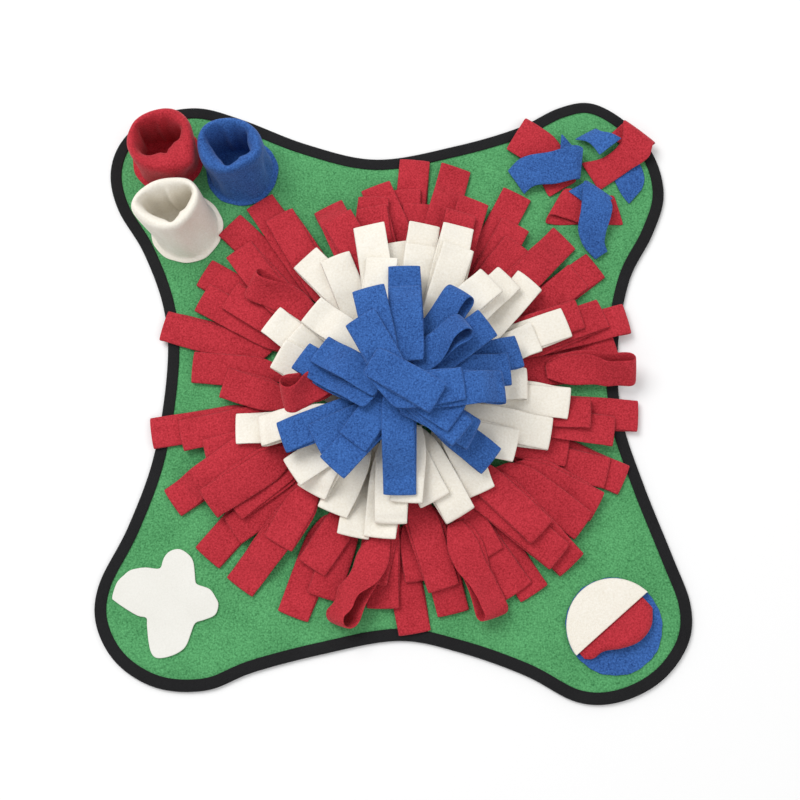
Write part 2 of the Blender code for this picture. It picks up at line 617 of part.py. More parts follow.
def build_cup(cup: Cup) -> None:
    """Make one soft pouch: a turned shell that leans from its foot to its mouth."""
    mesh = bmesh.new()
    foot = Vector((*cup.foot, 0.0)) * MM
    lean = Vector((*cup.mouth, 0.0)) * MM - foot
    base = PANEL_RIM_TOP + GAP
    rings = []
    for radius, height in CUP_SECTION:
        middle = foot + lean * height + Vector((0.0, 0.0, base + height * CUP_HEIGHT))
        if radius == 0.0:
            rings.append([mesh.verts.new(middle)])
            continue
        ring = []
        for side in range(CUP_SIDES):
            turn = math.tau * side / CUP_SIDES
            wide = radius * cup.radius * MM
            ring.append(mesh.verts.new(middle + Vector((math.cos(turn), math.sin(turn), 0.0)) * wide))
        rings.append(ring)
    for lower, upper in zip(rings, rings[1:]):
        for here in range(CUP_SIDES):
            there = (here + 1) % CUP_SIDES
            corners = (lower[here % len(lower)], lower[there % len(lower)],
                       upper[there % len(upper)], upper[here % len(upper)])
            mesh.faces.new(dict.fromkeys(corners))
    add_object(cup.name, mesh, COLOURS[cup.colour])


def build_plate(name: str, outline: list, bottom: float, thick: float, colour: tuple) -> None:
    """Make a flat cut piece from its outline in metres."""
    mesh = bmesh.new()
    lower = [mesh.verts.new((x, y, bottom)) for x, y in outline]
    face = mesh.faces.new(lower)
    upper = bmesh.ops.extrude_face_region(mesh, geom=[face])["geom"]
    for vertex in (item for item in upper if isinstance(item, bmesh.types.BMVert)):
        vertex.co.z += thick
    add_object(name, mesh, colour)


def build_clover() -> None:
    """Make the four-lobed patch: at each bearing, the farthest of its four rounded lobes."""
    outline = []
    for step in range(CLOVER_STEPS):
        turn = math.tau * step / CLOVER_STEPS
        reach = CLOVER_WAIST
        for bearing, length, half in CLOVER_LOBES:
            off = turn - math.radians(bearing)
            middle = length - half
            inside = half**2 - (middle * math.sin(off)) ** 2
            if inside > 0 and math.cos(off) > 0:
                reach = max(reach, middle * math.cos(off) + math.sqrt(inside))
        outline.append(((CLOVER_CENTRE[0] + reach * math.cos(turn)) * MM,
                        (CLOVER_CENTRE[1] + reach * math.sin(turn)) * MM))
    build_plate("clover_patch", outline, PANEL_RIM_TOP + GAP, CLOVER_THICK, FELT)


def ball_point(run: float, off: float, height: float) -> Vector:
    """Return a point of the ball, given along and off its chord and over the mat, in mm."""
    turn = math.radians(BALL_CHORD)
    x = BALL_CENTRE[0] + run * math.cos(turn) + off * math.sin(turn)
    y = BALL_CENTRE[1] + run * math.sin(turn) - off * math.cos(turn)
    return Vector((x, y, height)) * MM


def sheet_grid(name: str, rows: list, colour: tuple) -> None:
    """Make a sheet of cloth from rows of points, with Solidify for its thickness."""
    mesh = bmesh.new()
    grid = [[mesh.verts.new(point) for point in row] for row in rows]
    for lower, upper in zip(grid, grid[1:]):
        for at in range(len(lower) - 1):
            mesh.faces.new((lower[at], lower[at + 1], upper[at + 1], upper[at]))
    item = add_object(name, mesh, colour)
    cloth = item.modifiers.new("cloth", "SOLIDIFY")
    cloth.thickness = STRIP_THICK
    cloth.offset = 0.0


def build_ball() -> None:
    """Make the ball: a blue disc, an arched red flap over it and a white half flap on top."""
    outline = []
    for side in range(BALL_SIDES):
        turn = math.tau * side / BALL_SIDES
        outline.append(((BALL_CENTRE[0] + BALL_RADIUS / MM * math.cos(turn)) * MM,
                        (BALL_CENTRE[1] + BALL_RADIUS / MM * math.sin(turn)) * MM))
    build_plate("ball_disc", outline, PANEL_RIM_TOP + GAP, BALL_THICK, BLUE)
    base = (PANEL_RIM_TOP + 2 * GAP + BALL_THICK + 0.5 * STRIP_THICK) / MM
    rows = []
    mouth, rise = FLAP_MOUTH
    mouth += WHITE_FLAP_EDGE
    for run, edge, crown in RED_FLAP:
        start = WHITE_FLAP_EDGE - RED_FLAP_TUCK * (1 - (run / RED_FLAP_HALF_RUN) ** 2)
        row = [ball_point(run, start, base), ball_point(run, mouth, base + rise)]
        for across, up in FLAP_ARCH:
            row.append(ball_point(run, mouth + across * (edge - mouth), base + max(up * crown, rise)))
        rows.append(row)
    sheet_grid("ball_flap_red", rows, RED)
    radius = BALL_RADIUS / MM - BALL_PLY
    rows = []
    for side in range(WHITE_FLAP_SIDES + 1):
        run = -WHITE_FLAP_RUN * radius * math.cos(math.pi * side / WHITE_FLAP_SIDES)
        rim = -math.sqrt(radius**2 - run**2)
        edge = max(WHITE_FLAP_EDGE, rim + WHITE_FLAP_LEAST)
        spring = WHITE_FLAP_SPRING * (1 - WHITE_FLAP_DROOP * (run / radius) ** 2)
        rows.append([ball_point(run, rim + share * (edge - rim), base + math.sqrt(share) * spring)
                     for share in WHITE_FLAP_ROWS])
    sheet_grid("ball_flap_white", rows, WHITE)


def main() -> None:
    """Clear the scene and build the mat."""
    for item in list(bpy.data.objects):
        bpy.data.objects.remove(item)
    collection = bpy.data.collections.new("snuffle_mat")
    bpy.context.scene.collection.children.link(collection)
    build_panel()
    build_binding()
    build_rosette()
    build_ribbons()
    for cup in CUPS:
        build_cup(cup)
    build_clover()
    build_ball()


main()
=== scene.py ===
"""Looks of the snuffle mat: fleece strips, tape, cups, ribbons, a flap ball and a felt clover.

Sizes in the tables are in millimetres, in the row's frame. Everything is turned into metres where a
piece is made. The rosette's strips are laid one after the other on a heap, as they lie on the mat.
"""

import logging
import math
from dataclasses import dataclass, field
from enum import Enum
from typing import Callable, NamedTuple

import bpy
import numpy as np
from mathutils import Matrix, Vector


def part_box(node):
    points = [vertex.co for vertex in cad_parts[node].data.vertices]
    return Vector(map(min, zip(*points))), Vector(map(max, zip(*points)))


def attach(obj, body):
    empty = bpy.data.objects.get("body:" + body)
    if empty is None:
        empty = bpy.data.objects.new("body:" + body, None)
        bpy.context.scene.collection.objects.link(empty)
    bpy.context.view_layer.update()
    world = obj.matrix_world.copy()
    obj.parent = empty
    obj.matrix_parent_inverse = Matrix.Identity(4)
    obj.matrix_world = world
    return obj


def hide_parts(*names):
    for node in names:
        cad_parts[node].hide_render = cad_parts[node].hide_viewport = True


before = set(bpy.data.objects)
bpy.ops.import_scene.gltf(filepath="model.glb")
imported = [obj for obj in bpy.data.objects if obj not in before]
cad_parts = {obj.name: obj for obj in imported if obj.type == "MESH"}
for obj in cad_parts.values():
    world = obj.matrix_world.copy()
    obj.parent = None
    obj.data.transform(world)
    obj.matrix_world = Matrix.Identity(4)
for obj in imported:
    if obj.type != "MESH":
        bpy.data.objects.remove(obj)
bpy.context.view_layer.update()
LOG = logging.getLogger("snuffle_mat")

MM = 0.001
SEED = 20
BODY = "root"

# ---- sizes taken from the frame ----
PANEL_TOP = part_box("mat_panel")[1][2] / MM
TAPE_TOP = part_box("binding")[1][2] / MM

STRIP_WIDTH = 32.0
STRIP_THICK = 1.3
LAID_THICK = 1.6              # room that a strip takes up before the heap is pressed
PRESS = 0.8                   # share of its height that the heap keeps
AIR = 0.13                    # between cloths that lie on each other
SLACK = (0.5, 1.3)            # least and most air inside the tip of a flat loop
GATHER_RUN = 30.0             # a strip has its whole width this far from its root
TAPE_WIDTH = 12.0
TAPE_THICK = 1.0
FELT_SOFT = 0.5                # how far a felt edge is rounded
FELT_LIFT = 0.3                # air under a felt cut


class Cloth(Enum):
    """The cloths and tape of the mat, by the record's material slot."""
    GREEN = "green_fleece"
    RED = "red_fleece"
    WHITE = "white_fleece"
    BLUE = "blue_fleece"
    TAPE = "black_tape"
    FELT = "white_felt"


# ---- outline of the mat, clockwise from the left waist ----
OUTLINE = (
    (-234, 30), (-240, 92), (-263, 152), (-291, 198), (-301, 238), (-291, 274), (-262, 301),
    (-214, 312), (-165, 299), (-96, 271), (-22, 254), (60, 269), (125, 289), (170, 312),
    (206, 317), (243, 294), (269, 257), (277, 213), (263, 170), (238, 122), (224, 53),
    (225, -20), (244, -88), (270, -160), (286, -208), (282, -246), (255, -281), (214, -301),
    (172, -301), (123, -276), (60, -254), (0, -243), (-74, -256), (-140, -273), (-184, -290),
    (-232, -288), (-272, -265), (-294, -228), (-293, -188), (-267, -132), (-244, -60),
)


class Loop(NamedTuple):
    """One folded loop of a band, seen from above."""
    bearing: float      # degrees from +X to the middle of its tip edge
    reach: float        # from the rosette's middle to the tip edge
    skew: float         # degrees that the strip is turned from the radius
    gather: float = 0.0     # share of its width left at its root; 0 for the cloth's usual share


class Band(NamedTuple):
    """One strip folded back and forth, its loops from the lowest up."""
    name: str
    cloth: Cloth
    root: float         # from the middle to where its first loop is sewn down
    step: float         # how much further in each later loop is sewn
    loops: tuple
    eye: float = 0.0    # air inside the tip of a loop that stands open
    roll: float = 0.0   # degrees that its tip is rolled over, left side up


R, W, B = Cloth.RED, Cloth.WHITE, Cloth.BLUE
ROOT_SHARE = {R: 0.45, W: 0.62, B: 0.9}     # share of a strip's width left where it is sewn down
LIMPNESS = {R: 1.0, W: 1.8, B: 0.9}         # how much a loop curls and ripples

# Each row lies on the rows above it.
BANDS = tuple(Band(*row[:4], tuple(Loop(*loop) for loop in row[4]), *row[5:]) for row in (
    ("red_n", R, 140, 12, ((86, 252, 0), (88, 218, 4), (84, 202, 3), (96, 221, 14))),
    ("red_ne", R, 140, 14, ((60, 248, 3), (56, 217, 4), (52, 200, 3))),
    ("red_e_low", R, 140, 14, ((339, 240, -4), (339, 222, 6), (341, 178, 8))),
    ("red_e", R, 140, 11, ((355, 241, 2), (350, 218, 0), (354, 192, 1), (13, 226, 3), (9, 196, -3))),
    ("red_se_low", R, 140, 14, ((304, 238, 0), (301, 228, 4), (299, 184, 0))),
    ("red_s", R, 140, 12, ((274, 236, 7), (277, 186, 1), (284, 223, -1), (283, 198, 6))),
    ("red_sw_low", R, 140, 14, ((245, 242, 3), (250, 214, 2), (244, 192, -8))),
    ("red_wsw_low", R, 140, 14, ((221, 248, 7), (220, 212, -4), (215, 198, 1))),
    ("red_w_low", R, 140, 14, ((189, 249, 1), (191, 220, 1), (198, 200, -3))),
    ("red_nw", R, 140, 12, ((163, 249, 3), (147, 237, 4), (153, 224, -2), (149, 199, 2))),
    ("red_nnw", R, 140, 12, ((134, 251, 3), (137, 224, -7), (125, 251, 1), (123, 225, 0))),
    ("red_nne", R, 138, 14, ((76, 250, 0), (69, 219, 2), (71, 199, 7))),
    ("red_ene", R, 140, 13, ((34, 245, 3), (34, 223, 4), (44, 238, 2))),
    ("red_loop_e", R, 150, 0, ((7.5, 238, -4),), 12, 48),
    ("red_e_high", R, 140, 14, ((19, 245, -3), (22, 224, 2), (24, 201, -5))),
    ("red_se", R, 140, 11, ((330, 226, 1), (324, 225, 1), (315, 240, -1), (314, 226, 6), (315, 197, 1))),
    ("red_ssw", R, 118, 14, ((266, 212, 4), (262, 189, -4))),
    ("red_sw", R, 136, 15, ((231, 246, 3), (232, 190, 8))),
    ("red_wsw", R, 136, 15, ((206, 248, 8), (211, 216, 5))),
    ("red_w", R, 120, 15, ((172, 209, 3), (176, 175, -12))),
    ("red_north_left", R, 132, 11, ((97, 207, -12), (98, 195, 4), (110, 211, 3), (109, 190, 8))),
    ("red_loop_sse", R, 140, 0, ((292, 238, -4),), 10, -38),
    ("red_loop_ssw", R, 140, 0, ((258, 233, -8),), 13, 52),
    ("red_loop_nw", R, 112, 0, ((141, 187, 7),), 10, -50),
    ("white_n", W, 72, 8, ((92, 149, 12), (81, 172, 0), (81, 147, 5), (70, 178, 7), (67, 155, 8))),
    ("white_ne", W, 72, 8, ((23, 184, -2), (22, 149, -1), (41, 177, 7), (46, 159, -2), (49, 139, -4))),
    ("white_e", W, 68, 8, ((356, 170, -5), (3, 125, -3), (344, 156, 7), (334, 128, 12, 0.95))),
    ("white_se", W, 46, 6, ((308, 129, -16), (296, 136, 5), (288, 115, 10))),
    ("white_s", W, 62, 8, ((253, 150, 6), (263, 146, 1), (267, 130, 2), (274, 113, -7))),
    ("white_sw", W, 62, 8, ((242, 136, 6), (230, 131, 9), (219, 131, -4))),
    ("white_w", W, 68, 10, ((193, 164, -9), (197, 138, -8))),
    ("white_nw", W, 56, 9, ((150, 147, -6), (148, 118, -8), (163, 124, -12))),
    ("white_nnw", W, 56, 9, ((124, 168, 7), (115, 150, -2), (100, 169, -2), (97, 130, -14),
          (137, 118, 4, 0.95))),
    ("red_loop_w", R, 60, 0, ((182, 112, 6),), 15, -58),
    ("blue_sw", B, 20, 6, ((205, 123, -6), (215, 97, -10), (233, 104, -5), (234, 73, -2))),
    ("blue_loop_ne", B, 22, 0, ((52, 107, -1),), 12, -34),
    ("blue_e", B, 22, 6, ((17, 123, 1), (8, 109, -2), (33, 103, 2))),
    ("blue_loop_ene", B, 20, 0, ((34, 82, -8),), 12, -46),
    ("blue_n", B, 22, 6, ((87, 118, 4), (86, 91, 5))),
    ("blue_w", B, 16, 6, ((163, 99, -15), (155, 84, -7))),
    ("blue_s", B, 14, 10, ((271, 107, -1),)),
    ("blue_se", B, 22, 6, ((321, 116, 0), (324, 84, 10), (319, 80, 2), (324, 68, 0))),
    ("blue_nw", B, 18, 12, ((108, 91, -5), (122, 68, -4))),
    ("blue_top", B, 20, 25, ((356, 97, 10), (353, 62, 14), (328, 44, 0))),
))


class Cup(NamedTuple):
    """One fleece cup: its round foot, its rim and its mouth seen from above, and its creases."""
    name: str
    cloth: Cloth
    foot: tuple         # middle of the foot
    foot_radius: float
    rim: tuple          # outline of the turned-over rim
    mouth: tuple        # outline of the opening
    creases: tuple      # of the inside: bearing in degrees, how many degrees wide, depth in mm
    folds: tuple        # of the outside, likewise


CUPS = (
    Cup("cup_red", R, (-241, 254), 33,
        ((-273, 249), (-272, 261), (-266, 274), (-253, 283), (-236, 287), (-223, 284), (-213, 274),
         (-209, 261), (-207, 249), (-207, 240), (-208, 231), (-216, 225), (-233, 221), (-249, 222),
         (-261, 228), (-269, 238)),
        ((-264, 253), (-262, 265), (-256, 272), (-244, 276), (-231, 274), (-222, 266), (-222, 256),
         (-230, 250), (-242, 243), (-253, 239), (-262, 243)),
        ((150, 12, 6.5), (300, 11, 7), (25, 11, 5), (345, 10, -4), (85, 12, -4)),
        ((262, 16, -3.5), (318, 12, -4.5), (200, 15, -3), (290, 10, 2))),
    Cup("cup_blue", B, (-163, 240), 33.5,
        ((-202, 249), (-200, 261), (-193, 270), (-180, 275), (-165, 276), (-153, 272), (-142, 262),
         (-138, 250), (-138, 240), (-145, 230), (-157, 223), (-171, 218), (-186, 222), (-197, 232)),
        ((-192, 257), (-187, 264), (-176, 267), (-161, 266), (-153, 256), (-149, 245), (-157, 237),
         (-171, 229), (-181, 236), (-188, 246)),
        ((35, 11, 6), (268, 11, 8), (165, 14, 4.5), (312, 10, -4), (95, 14, -4.5)),
        ((350, 13, -4.5), (300, 11, 3), (225, 14, -3.5), (270, 12, -2.5))),
    Cup("cup_white", W, (-219, 178), 33.5,
        ((-266, 182), (-264, 191), (-258, 199), (-245, 208), (-230, 212), (-213, 212), (-204, 206),
         (-199, 196), (-200, 185), (-205, 174), (-213, 164), (-224, 158), (-239, 159), (-252, 166),
         (-261, 174)),
        ((-257, 187), (-252, 192), (-240, 198), (-227, 202), (-213, 202), (-207, 198), (-211, 187),
         (-217, 177), (-227, 170), (-239, 173), (-251, 179)),
        ((165, 12, 7), (285, 11, 9), (40, 10, 6), (325, 10, -4), (90, 13, -5)),
        ((322, 13, -4.5), (285, 12, 3), (240, 17, -3.5), (303, 9, -2))),
)


class Ribbon(NamedTuple):
    """One loose strip in the upper right corner."""
    name: str
    cloth: Cloth
    crown: float        # mm that its middle stands over its edges
    rungs: tuple        # its left edge's x, y, z and its right edge's, along its length


RIBBONS = (
    Ribbon("ribbon_red_1", R, 1.6, (
        (134, 299, 8, 113, 264, 7), (149, 289, 8.6, 126, 255, 7.4), (163, 279, 6.5, 138, 246, 5),
        (187, 229, 4.6, 157, 211, 4.6))),
    Ribbon("ribbon_red_2", R, 1.2, (
        (191, 249, 6, 209, 218, 5.4), (214, 254, 8.6, 243, 241, 8), (233, 271, 13.8, 262, 254, 12.2),
        (236, 293, 15, 267, 268, 13.4), (238, 294, 11.2, 269, 269, 10.4), (236, 293, 7.6, 267, 268, 7.6),
        (220, 279, 5.2, 245, 262, 5))),
    Ribbon("ribbon_red_3", R, 0.5, (
        (225, 214, 4.4, 234, 181, 4.4), (192, 214, 4.4, 193, 182, 4.4), (174, 217, 4.6, 158, 182, 4.6),
        (170, 215, 6.4, 153, 183, 6.2), (173, 219, 9.6, 156, 190, 9.0), (182, 219, 9.4, 170, 188, 8.4),
        (193, 214, 8.0, 190, 181, 7.6))),
    Ribbon("ribbon_blue_1", B, 1.2, (
        (171, 281, 9.5, 168, 249, 9.5), (190, 263, 11, 186, 229, 10), (192.5, 263, 13, 188.5, 229, 12),
        (190, 264, 15.4, 186, 228, 14.4), (158, 258, 15, 164, 223, 14), (126, 251, 12, 139, 220, 12),
        (114, 240, 7, 131, 214, 6.6))),
    Ribbon("ribbon_blue_2", B, 0.8, (
        (208, 287, 7.5, 185, 275, 6.5), (212, 281, 15, 197, 269, 14.5), (222, 278, 17, 204, 261, 17.5),
        (233, 272, 17, 209, 253, 17.5))),
    Ribbon("ribbon_blue_3", B, 0.5, (
        (252, 251, 4.5, 221, 240, 4.5), (256, 242, 4.5, 226, 229, 4.5), (257, 229, 4.8, 233, 214, 4.5),
        (254, 220, 5.2, 240, 204, 4.6))),
    Ribbon("ribbon_blue_4", B, 1.4, (
        (176, 216, 10.6, 190, 205, 10.6), (193, 226, 10.8, 220, 206, 10.8), (195, 227, 12.6, 222, 207, 12.4),
        (193, 226, 15, 220, 206, 14.8), (190, 212, 18, 221, 197, 17.5), (188, 194, 17.6, 219, 186, 17),
        (185, 172, 13.2, 214, 170, 12.6), (190, 158, 9.4, 213, 160, 9), (203, 143, 6.4, 216, 152, 6))),
)

CLOVER = (
    (-279, -201), (-276, -189), (-273, -184), (-269, -180), (-263, -175), (-256, -173), (-247, -172),
    (-234, -173), (-231, -166), (-229, -161), (-224, -156), (-215, -154), (-206, -159), (-201, -166),
    (-199, -178), (-198, -186), (-195, -189), (-184, -193), (-178, -201), (-175, -208), (-178, -218),
    (-189, -223), (-197, -226), (-201, -236), (-204, -245), (-208, -251), (-216, -256), (-226, -259),
    (-234, -259), (-239, -254), (-242, -243), (-244, -228), (-245, -221), (-253, -219), (-264, -213),
    (-276, -205),
)

# the red flap's stations along the chord: where, how far out its free edge is, and its crown
RED_FLAP = ((-43, 4, 0.4), (-37, 9, 3.0), (-26, 10, 6.0), (-9, 20, 10.5), (8, 26, 12.0), (26, 23, 9.0),
            (40, 11, 2.5))
BALL_MIDDLE = (210.0, -229.0)
BALL_RADIUS = 47.0
BALL_CHORD = 40.7             # degrees from +X to the straight edge of the white flap
WHITE_EDGE = -3.4             # from the ball's middle to that edge


# ---- finishes ----
def add_node(tree: bpy.types.NodeTree, kind: str, values: dict = None, links: dict = None,
             **settings: object) -> bpy.types.Node:
    """Add a shader node and join its inputs.

    Args:
        tree: The node tree it goes in.
        kind: Its Blender type, without the ShaderNode in front.
        values: Its inputs' values by name or number.
        links: The sockets that its inputs are joined to, by name or number.
        settings: Its other settings.

    Returns:
        The node.
    """
    node = tree.nodes.new("ShaderNode" + kind)
    for key, value in settings.items():
        setattr(node, key, value)
    for key, value in (values or {}).items():
        node.inputs[key].default_value = value
    for key, source in (links or {}).items():
        tree.links.new(source, node.inputs[key])
    return node


def nap_group() -> bpy.types.NodeTree:
    """Return the shared nap of brushed cloth: nubs, pills and broad mottling.

    Returns:
        A node group that puts out a colour, a roughness and a height.
    """
    group = bpy.data.node_groups.get("brushed_nap")
    if group:
        return group
    group = bpy.data.node_groups.new("brushed_nap", "ShaderNodeTree")
    face = group.interface
    for name in ("Deep", "Raised"):
        face.new_socket(name, in_out="INPUT", socket_type="NodeSocketColor")
    for name, value in (("Nub Scale", 620.0), ("Mottle Scale", 26.0), ("Contrast", 0.5), ("Sway", 0.0)):
        face.new_socket(name, in_out="INPUT", socket_type="NodeSocketFloat").default_value = value
    for name, kind in (("Color", "Color"), ("Roughness", "Float"), ("Height", "Float")):
        face.new_socket(name, in_out="OUTPUT", socket_type="NodeSocket" + kind)
    given = group.nodes.new("NodeGroupInput").outputs
    place = add_node(group, "TexCoord").outputs["Object"]
    nubs = add_node(group, "TexNoise", {"Detail": 3.0, "Roughness": 0.62},
                    {"Vector": place, "Scale": given["Nub Scale"]}).outputs[0]
    pills = add_node(group, "TexVoronoi", {"Randomness": 1.0},
                     {"Vector": place, "Scale": given["Nub Scale"]}, feature="SMOOTH_F1").outputs["Distance"]
    mottle = add_node(group, "TexNoise", {"Detail": 2.0, "Roughness": 0.5},
                      {"Vector": place, "Scale": given["Mottle Scale"]}).outputs[0]
    spread = add_node(group, "MapRange", {"From Min": 0.32, "From Max": 0.68}, {"Value": nubs}).outputs[0]
    round_pill = add_node(group, "Math", {0: 1.0}, {1: pills}, operation="SUBTRACT").outputs[0]
    blend = add_node(group, "Math", {1: 0.45}, {0: round_pill}, operation="MULTIPLY").outputs[0]
    height = add_node(group, "Math", {1: 0.55}, {0: spread, 2: blend}, operation="MULTIPLY_ADD").outputs[0]
    broad = add_node(group, "MapRange", {"From Min": 0.3, "From Max": 0.7, "To Min": -0.1, "To Max": 0.1},
                     {"Value": mottle}).outputs[0]
    fine = add_node(group, "Math", {1: 0.5}, {0: height}, operation="SUBTRACT").outputs[0]
    strength = add_node(group, "Math", links={0: fine, 1: given["Contrast"], 2: broad},
                        operation="MULTIPLY_ADD").outputs[0]
    share = add_node(group, "Math", {1: 0.5}, {0: strength}, operation="ADD", use_clamp=True).outputs[0]
    colour = add_node(group, "Mix", links={"Factor": share, 6: given["Deep"], 7: given["Raised"]},
                      data_type="RGBA").outputs[2]
    rough = add_node(group, "MapRange", {"To Min": 0.95, "To Max": 0.78}, {"Value": height}).outputs[0]
    sway = add_node(group, "Math", links={0: mottle, 1: given["Sway"], 2: height},
                    operation="MULTIPLY_ADD").outputs[0]
    end = group.nodes.new("NodeGroupOutput")
    for name, socket in (("Color", colour), ("Roughness", rough), ("Height", sway)):
        group.links.new(socket, end.inputs[name])
    return group


@dataclass(frozen=True)
class Finish:
    """A cloth's finish: the colours of its nap and how deep and fine it is."""
    cloth: Cloth
    deep: tuple
    raised: tuple
    contrast: float = 1.0
    nub_scale: float = 620.0
    nub_depth: float = 0.35        # mm
    sheen: float = 0.35
    ribbed: bool = False
    sway: float = 0.0              # broad waves in its surface, in shares of nub_depth

    def material(self) -> bpy.types.Material:
        """Return the cloth's material, made once.

        Returns:
            A Principled material fed by the nap group.
        """
        made = bpy.data.materials.get(self.cloth.value + "_finish")
        if made:
            return made
        made = bpy.data.materials.new(self.cloth.value + "_finish")
        made.use_nodes = True
        tree = made.node_tree
        shader = tree.nodes["Principled BSDF"]
        nap = tree.nodes.new("ShaderNodeGroup")
        nap.node_tree = nap_group()
        for name, value in (("Deep", (*self.deep, 1.0)), ("Raised", (*self.raised, 1.0)),
                            ("Nub Scale", self.nub_scale), ("Contrast", self.contrast), ("Sway", self.sway)):
            nap.inputs[name].default_value = value
        height = nap.outputs["Height"]
        if self.ribbed:
            height = self.add_ribs(tree, height)
        bump = add_node(tree, "Bump", {"Strength": 0.9, "Distance": self.nub_depth * MM}, {"Height": height})
        for name, socket in (("Base Color", nap.outputs["Color"]), ("Roughness", nap.outputs["Roughness"]),
                             ("Normal", bump.outputs["Normal"])):
            tree.links.new(socket, shader.inputs[name])
        tint = (*[min(1.0, 0.25 + c) for c in self.raised], 1.0)
        for name, value in (("Metallic", 0.0), ("Specular IOR Level", 0.25), ("Sheen Weight", self.sheen),
                            ("Sheen Roughness", 0.45), ("Sheen Tint", tint)):
            shader.inputs[name].default_value = value
        return made

    def add_ribs(self, tree: bpy.types.NodeTree, height: bpy.types.NodeSocket) -> bpy.types.NodeSocket:
        """Add woven ribs across a tape, which follow its UV map in metres.

        Args:
            tree: The material's tree.
            height: The nap's height.

        Returns:
            The height with the ribs added.
        """
        lie = add_node(tree, "TexCoord").outputs["UV"]
        ribs = add_node(tree, "TexWave", {"Scale": 380.0, "Distortion": 0.4, "Detail": 1.0}, {"Vector": lie},
                        wave_type="BANDS", bands_direction="DIAGONAL").outputs["Color"]
        return add_node(tree, "Math", {1: 0.8}, {0: ribs, 2: height}, operation="MULTIPLY_ADD").outputs[0]


FINISHES = {finish.cloth: finish for finish in (
    Finish(Cloth.GREEN, (0.024, 0.150, 0.045), (0.122, 0.440, 0.168), 1.25, 560.0, 0.4, sway=7.0),
    Finish(Cloth.RED, (0.250, 0.006, 0.012), (0.600, 0.038, 0.057), 1.15, 620.0, 0.4, sway=3.0),
    Finish(Cloth.WHITE, (0.740, 0.680, 0.570), (0.900, 0.870, 0.800), 0.7, 480.0, 0.3, 0.12, sway=8.0),
    Finish(Cloth.BLUE, (0.007, 0.036, 0.160), (0.050, 0.165, 0.500), 1.25, 620.0, 0.4, sway=3.0),
    Finish(Cloth.TAPE, (0.003, 0.003, 0.0035), (0.015, 0.015, 0.0165), 0.8, 1400.0, 0.25, 0.08, True),
    Finish(Cloth.FELT, (0.700, 0.685, 0.630), (0.840, 0.830, 0.785), 0.5, 800.0, 0.15, 0.1),
)}


# ---- making pieces ----
def deselect() -> None:
    """Leave object mode clean, with nothing selected."""
    if bpy.context.object and bpy.context.object.mode != "OBJECT":
        bpy.ops.object.mode_set(mode="OBJECT")
    bpy.ops.object.select_all(action="DESELECT")


def edit_all() -> None:
    """Go into edit mode with everything selected."""
    bpy.ops.object.mode_set(mode="EDIT")
    bpy.ops.mesh.select_all(action="SELECT")


def apply_modifier(piece: bpy.types.Object, kind: str, **settings: object) -> None:
    """Add a modifier and apply it.

    Args:
        piece: The active piece.
        kind: The modifier's type.
        settings: Its settings.
    """
    modifier = piece.modifiers.new(kind.lower(), kind)
    for key, value in settings.items():
        setattr(modifier, key, value)
    bpy.ops.object.modifier_apply(modifier=modifier.name)


def finish_piece(piece: bpy.types.Object, cloth: Cloth, node: str) -> None:
    """Dress a piece in its cloth, smooth it and tell the frame what it is.

    Args:
        piece: The finished mesh.
        cloth: The cloth it is cut from.
        node: The CAD node whose place it takes.
    """
    piece.data.materials.clear()
    piece.data.materials.append(FINISHES[cloth].material())
    bpy.ops.object.shade_smooth()
    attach(piece, BODY)
    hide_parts(node)
    LOG.info("%s: %d faces of %s", piece.name, len(piece.data.polygons), cloth.value)


def lay_grid(name: str, points: np.ndarray, cut: tuple, thick: float, ring: bool = False,
             smooth: int = 1) -> bpy.types.Object:
    """Make a sheet of cloth from a flat grid whose points are moved onto their folds.

    Args:
        name: The piece's name.
        points: Rows along the cloth by columns across it, each a point in mm.
        cut: Width and length that the cloth was cut to, in mm.
        thick: The cloth's thickness in mm, 0 for a closed shell.
        ring: Whether the last row meets the first.
        smooth: Levels of subdivision.

    Returns:
        The sheet, which is the active object.
    """
    rows, columns, _ = points.shape
    deselect()
    bpy.ops.mesh.primitive_grid_add(x_subdivisions=columns - 1, y_subdivisions=rows - 1, size=1.0)
    piece = bpy.context.object
    piece.name = name
    piece.data.vertices.foreach_set("co", (points * MM).reshape(-1))
    uv = piece.data.uv_layers.active.data
    flat = np.empty(2 * len(uv))
    uv.foreach_get("uv", flat)
    flat = flat.reshape(-1, 2) * np.array(cut) * MM
    uv.foreach_set("uv", flat.reshape(-1))
    if ring:
        edit_all()
        bpy.ops.mesh.remove_doubles(threshold=0.00001)
        bpy.ops.object.mode_set(mode="OBJECT")
    piece.data.update()
    if thick:
        apply_modifier(piece, "SOLIDIFY", thickness=thick * MM, offset=0.0, use_even_offset=False)
    if smooth:
        apply_modifier(piece, "SUBSURF", levels=smooth, render_levels=smooth)
    return piece


def ring_curve(knots: tuple, steps: int) -> np.ndarray:
    """Return a closed smooth curve through knots.

    Args:
        knots: Points in order.
        steps: Stations for each span.

    Returns:
        The stations, one row each.
    """
    knots = np.array(knots, dtype=float)
    before, after, beyond = np.roll(knots, 1, 0), np.roll(knots, -1, 0), np.roll(knots, -2, 0)
    stations = []
    for step in range(steps):
        u = step / steps
        bend = (2 * before - 5 * knots + 4 * after - beyond) * u**2
        twist = (-before + 3 * knots - 3 * after + beyond) * u**3
        stations.append(0.5 * (2 * knots + (after - before) * u + bend + twist))
    return np.stack(stations, axis=1).reshape(-1, knots.shape[1])


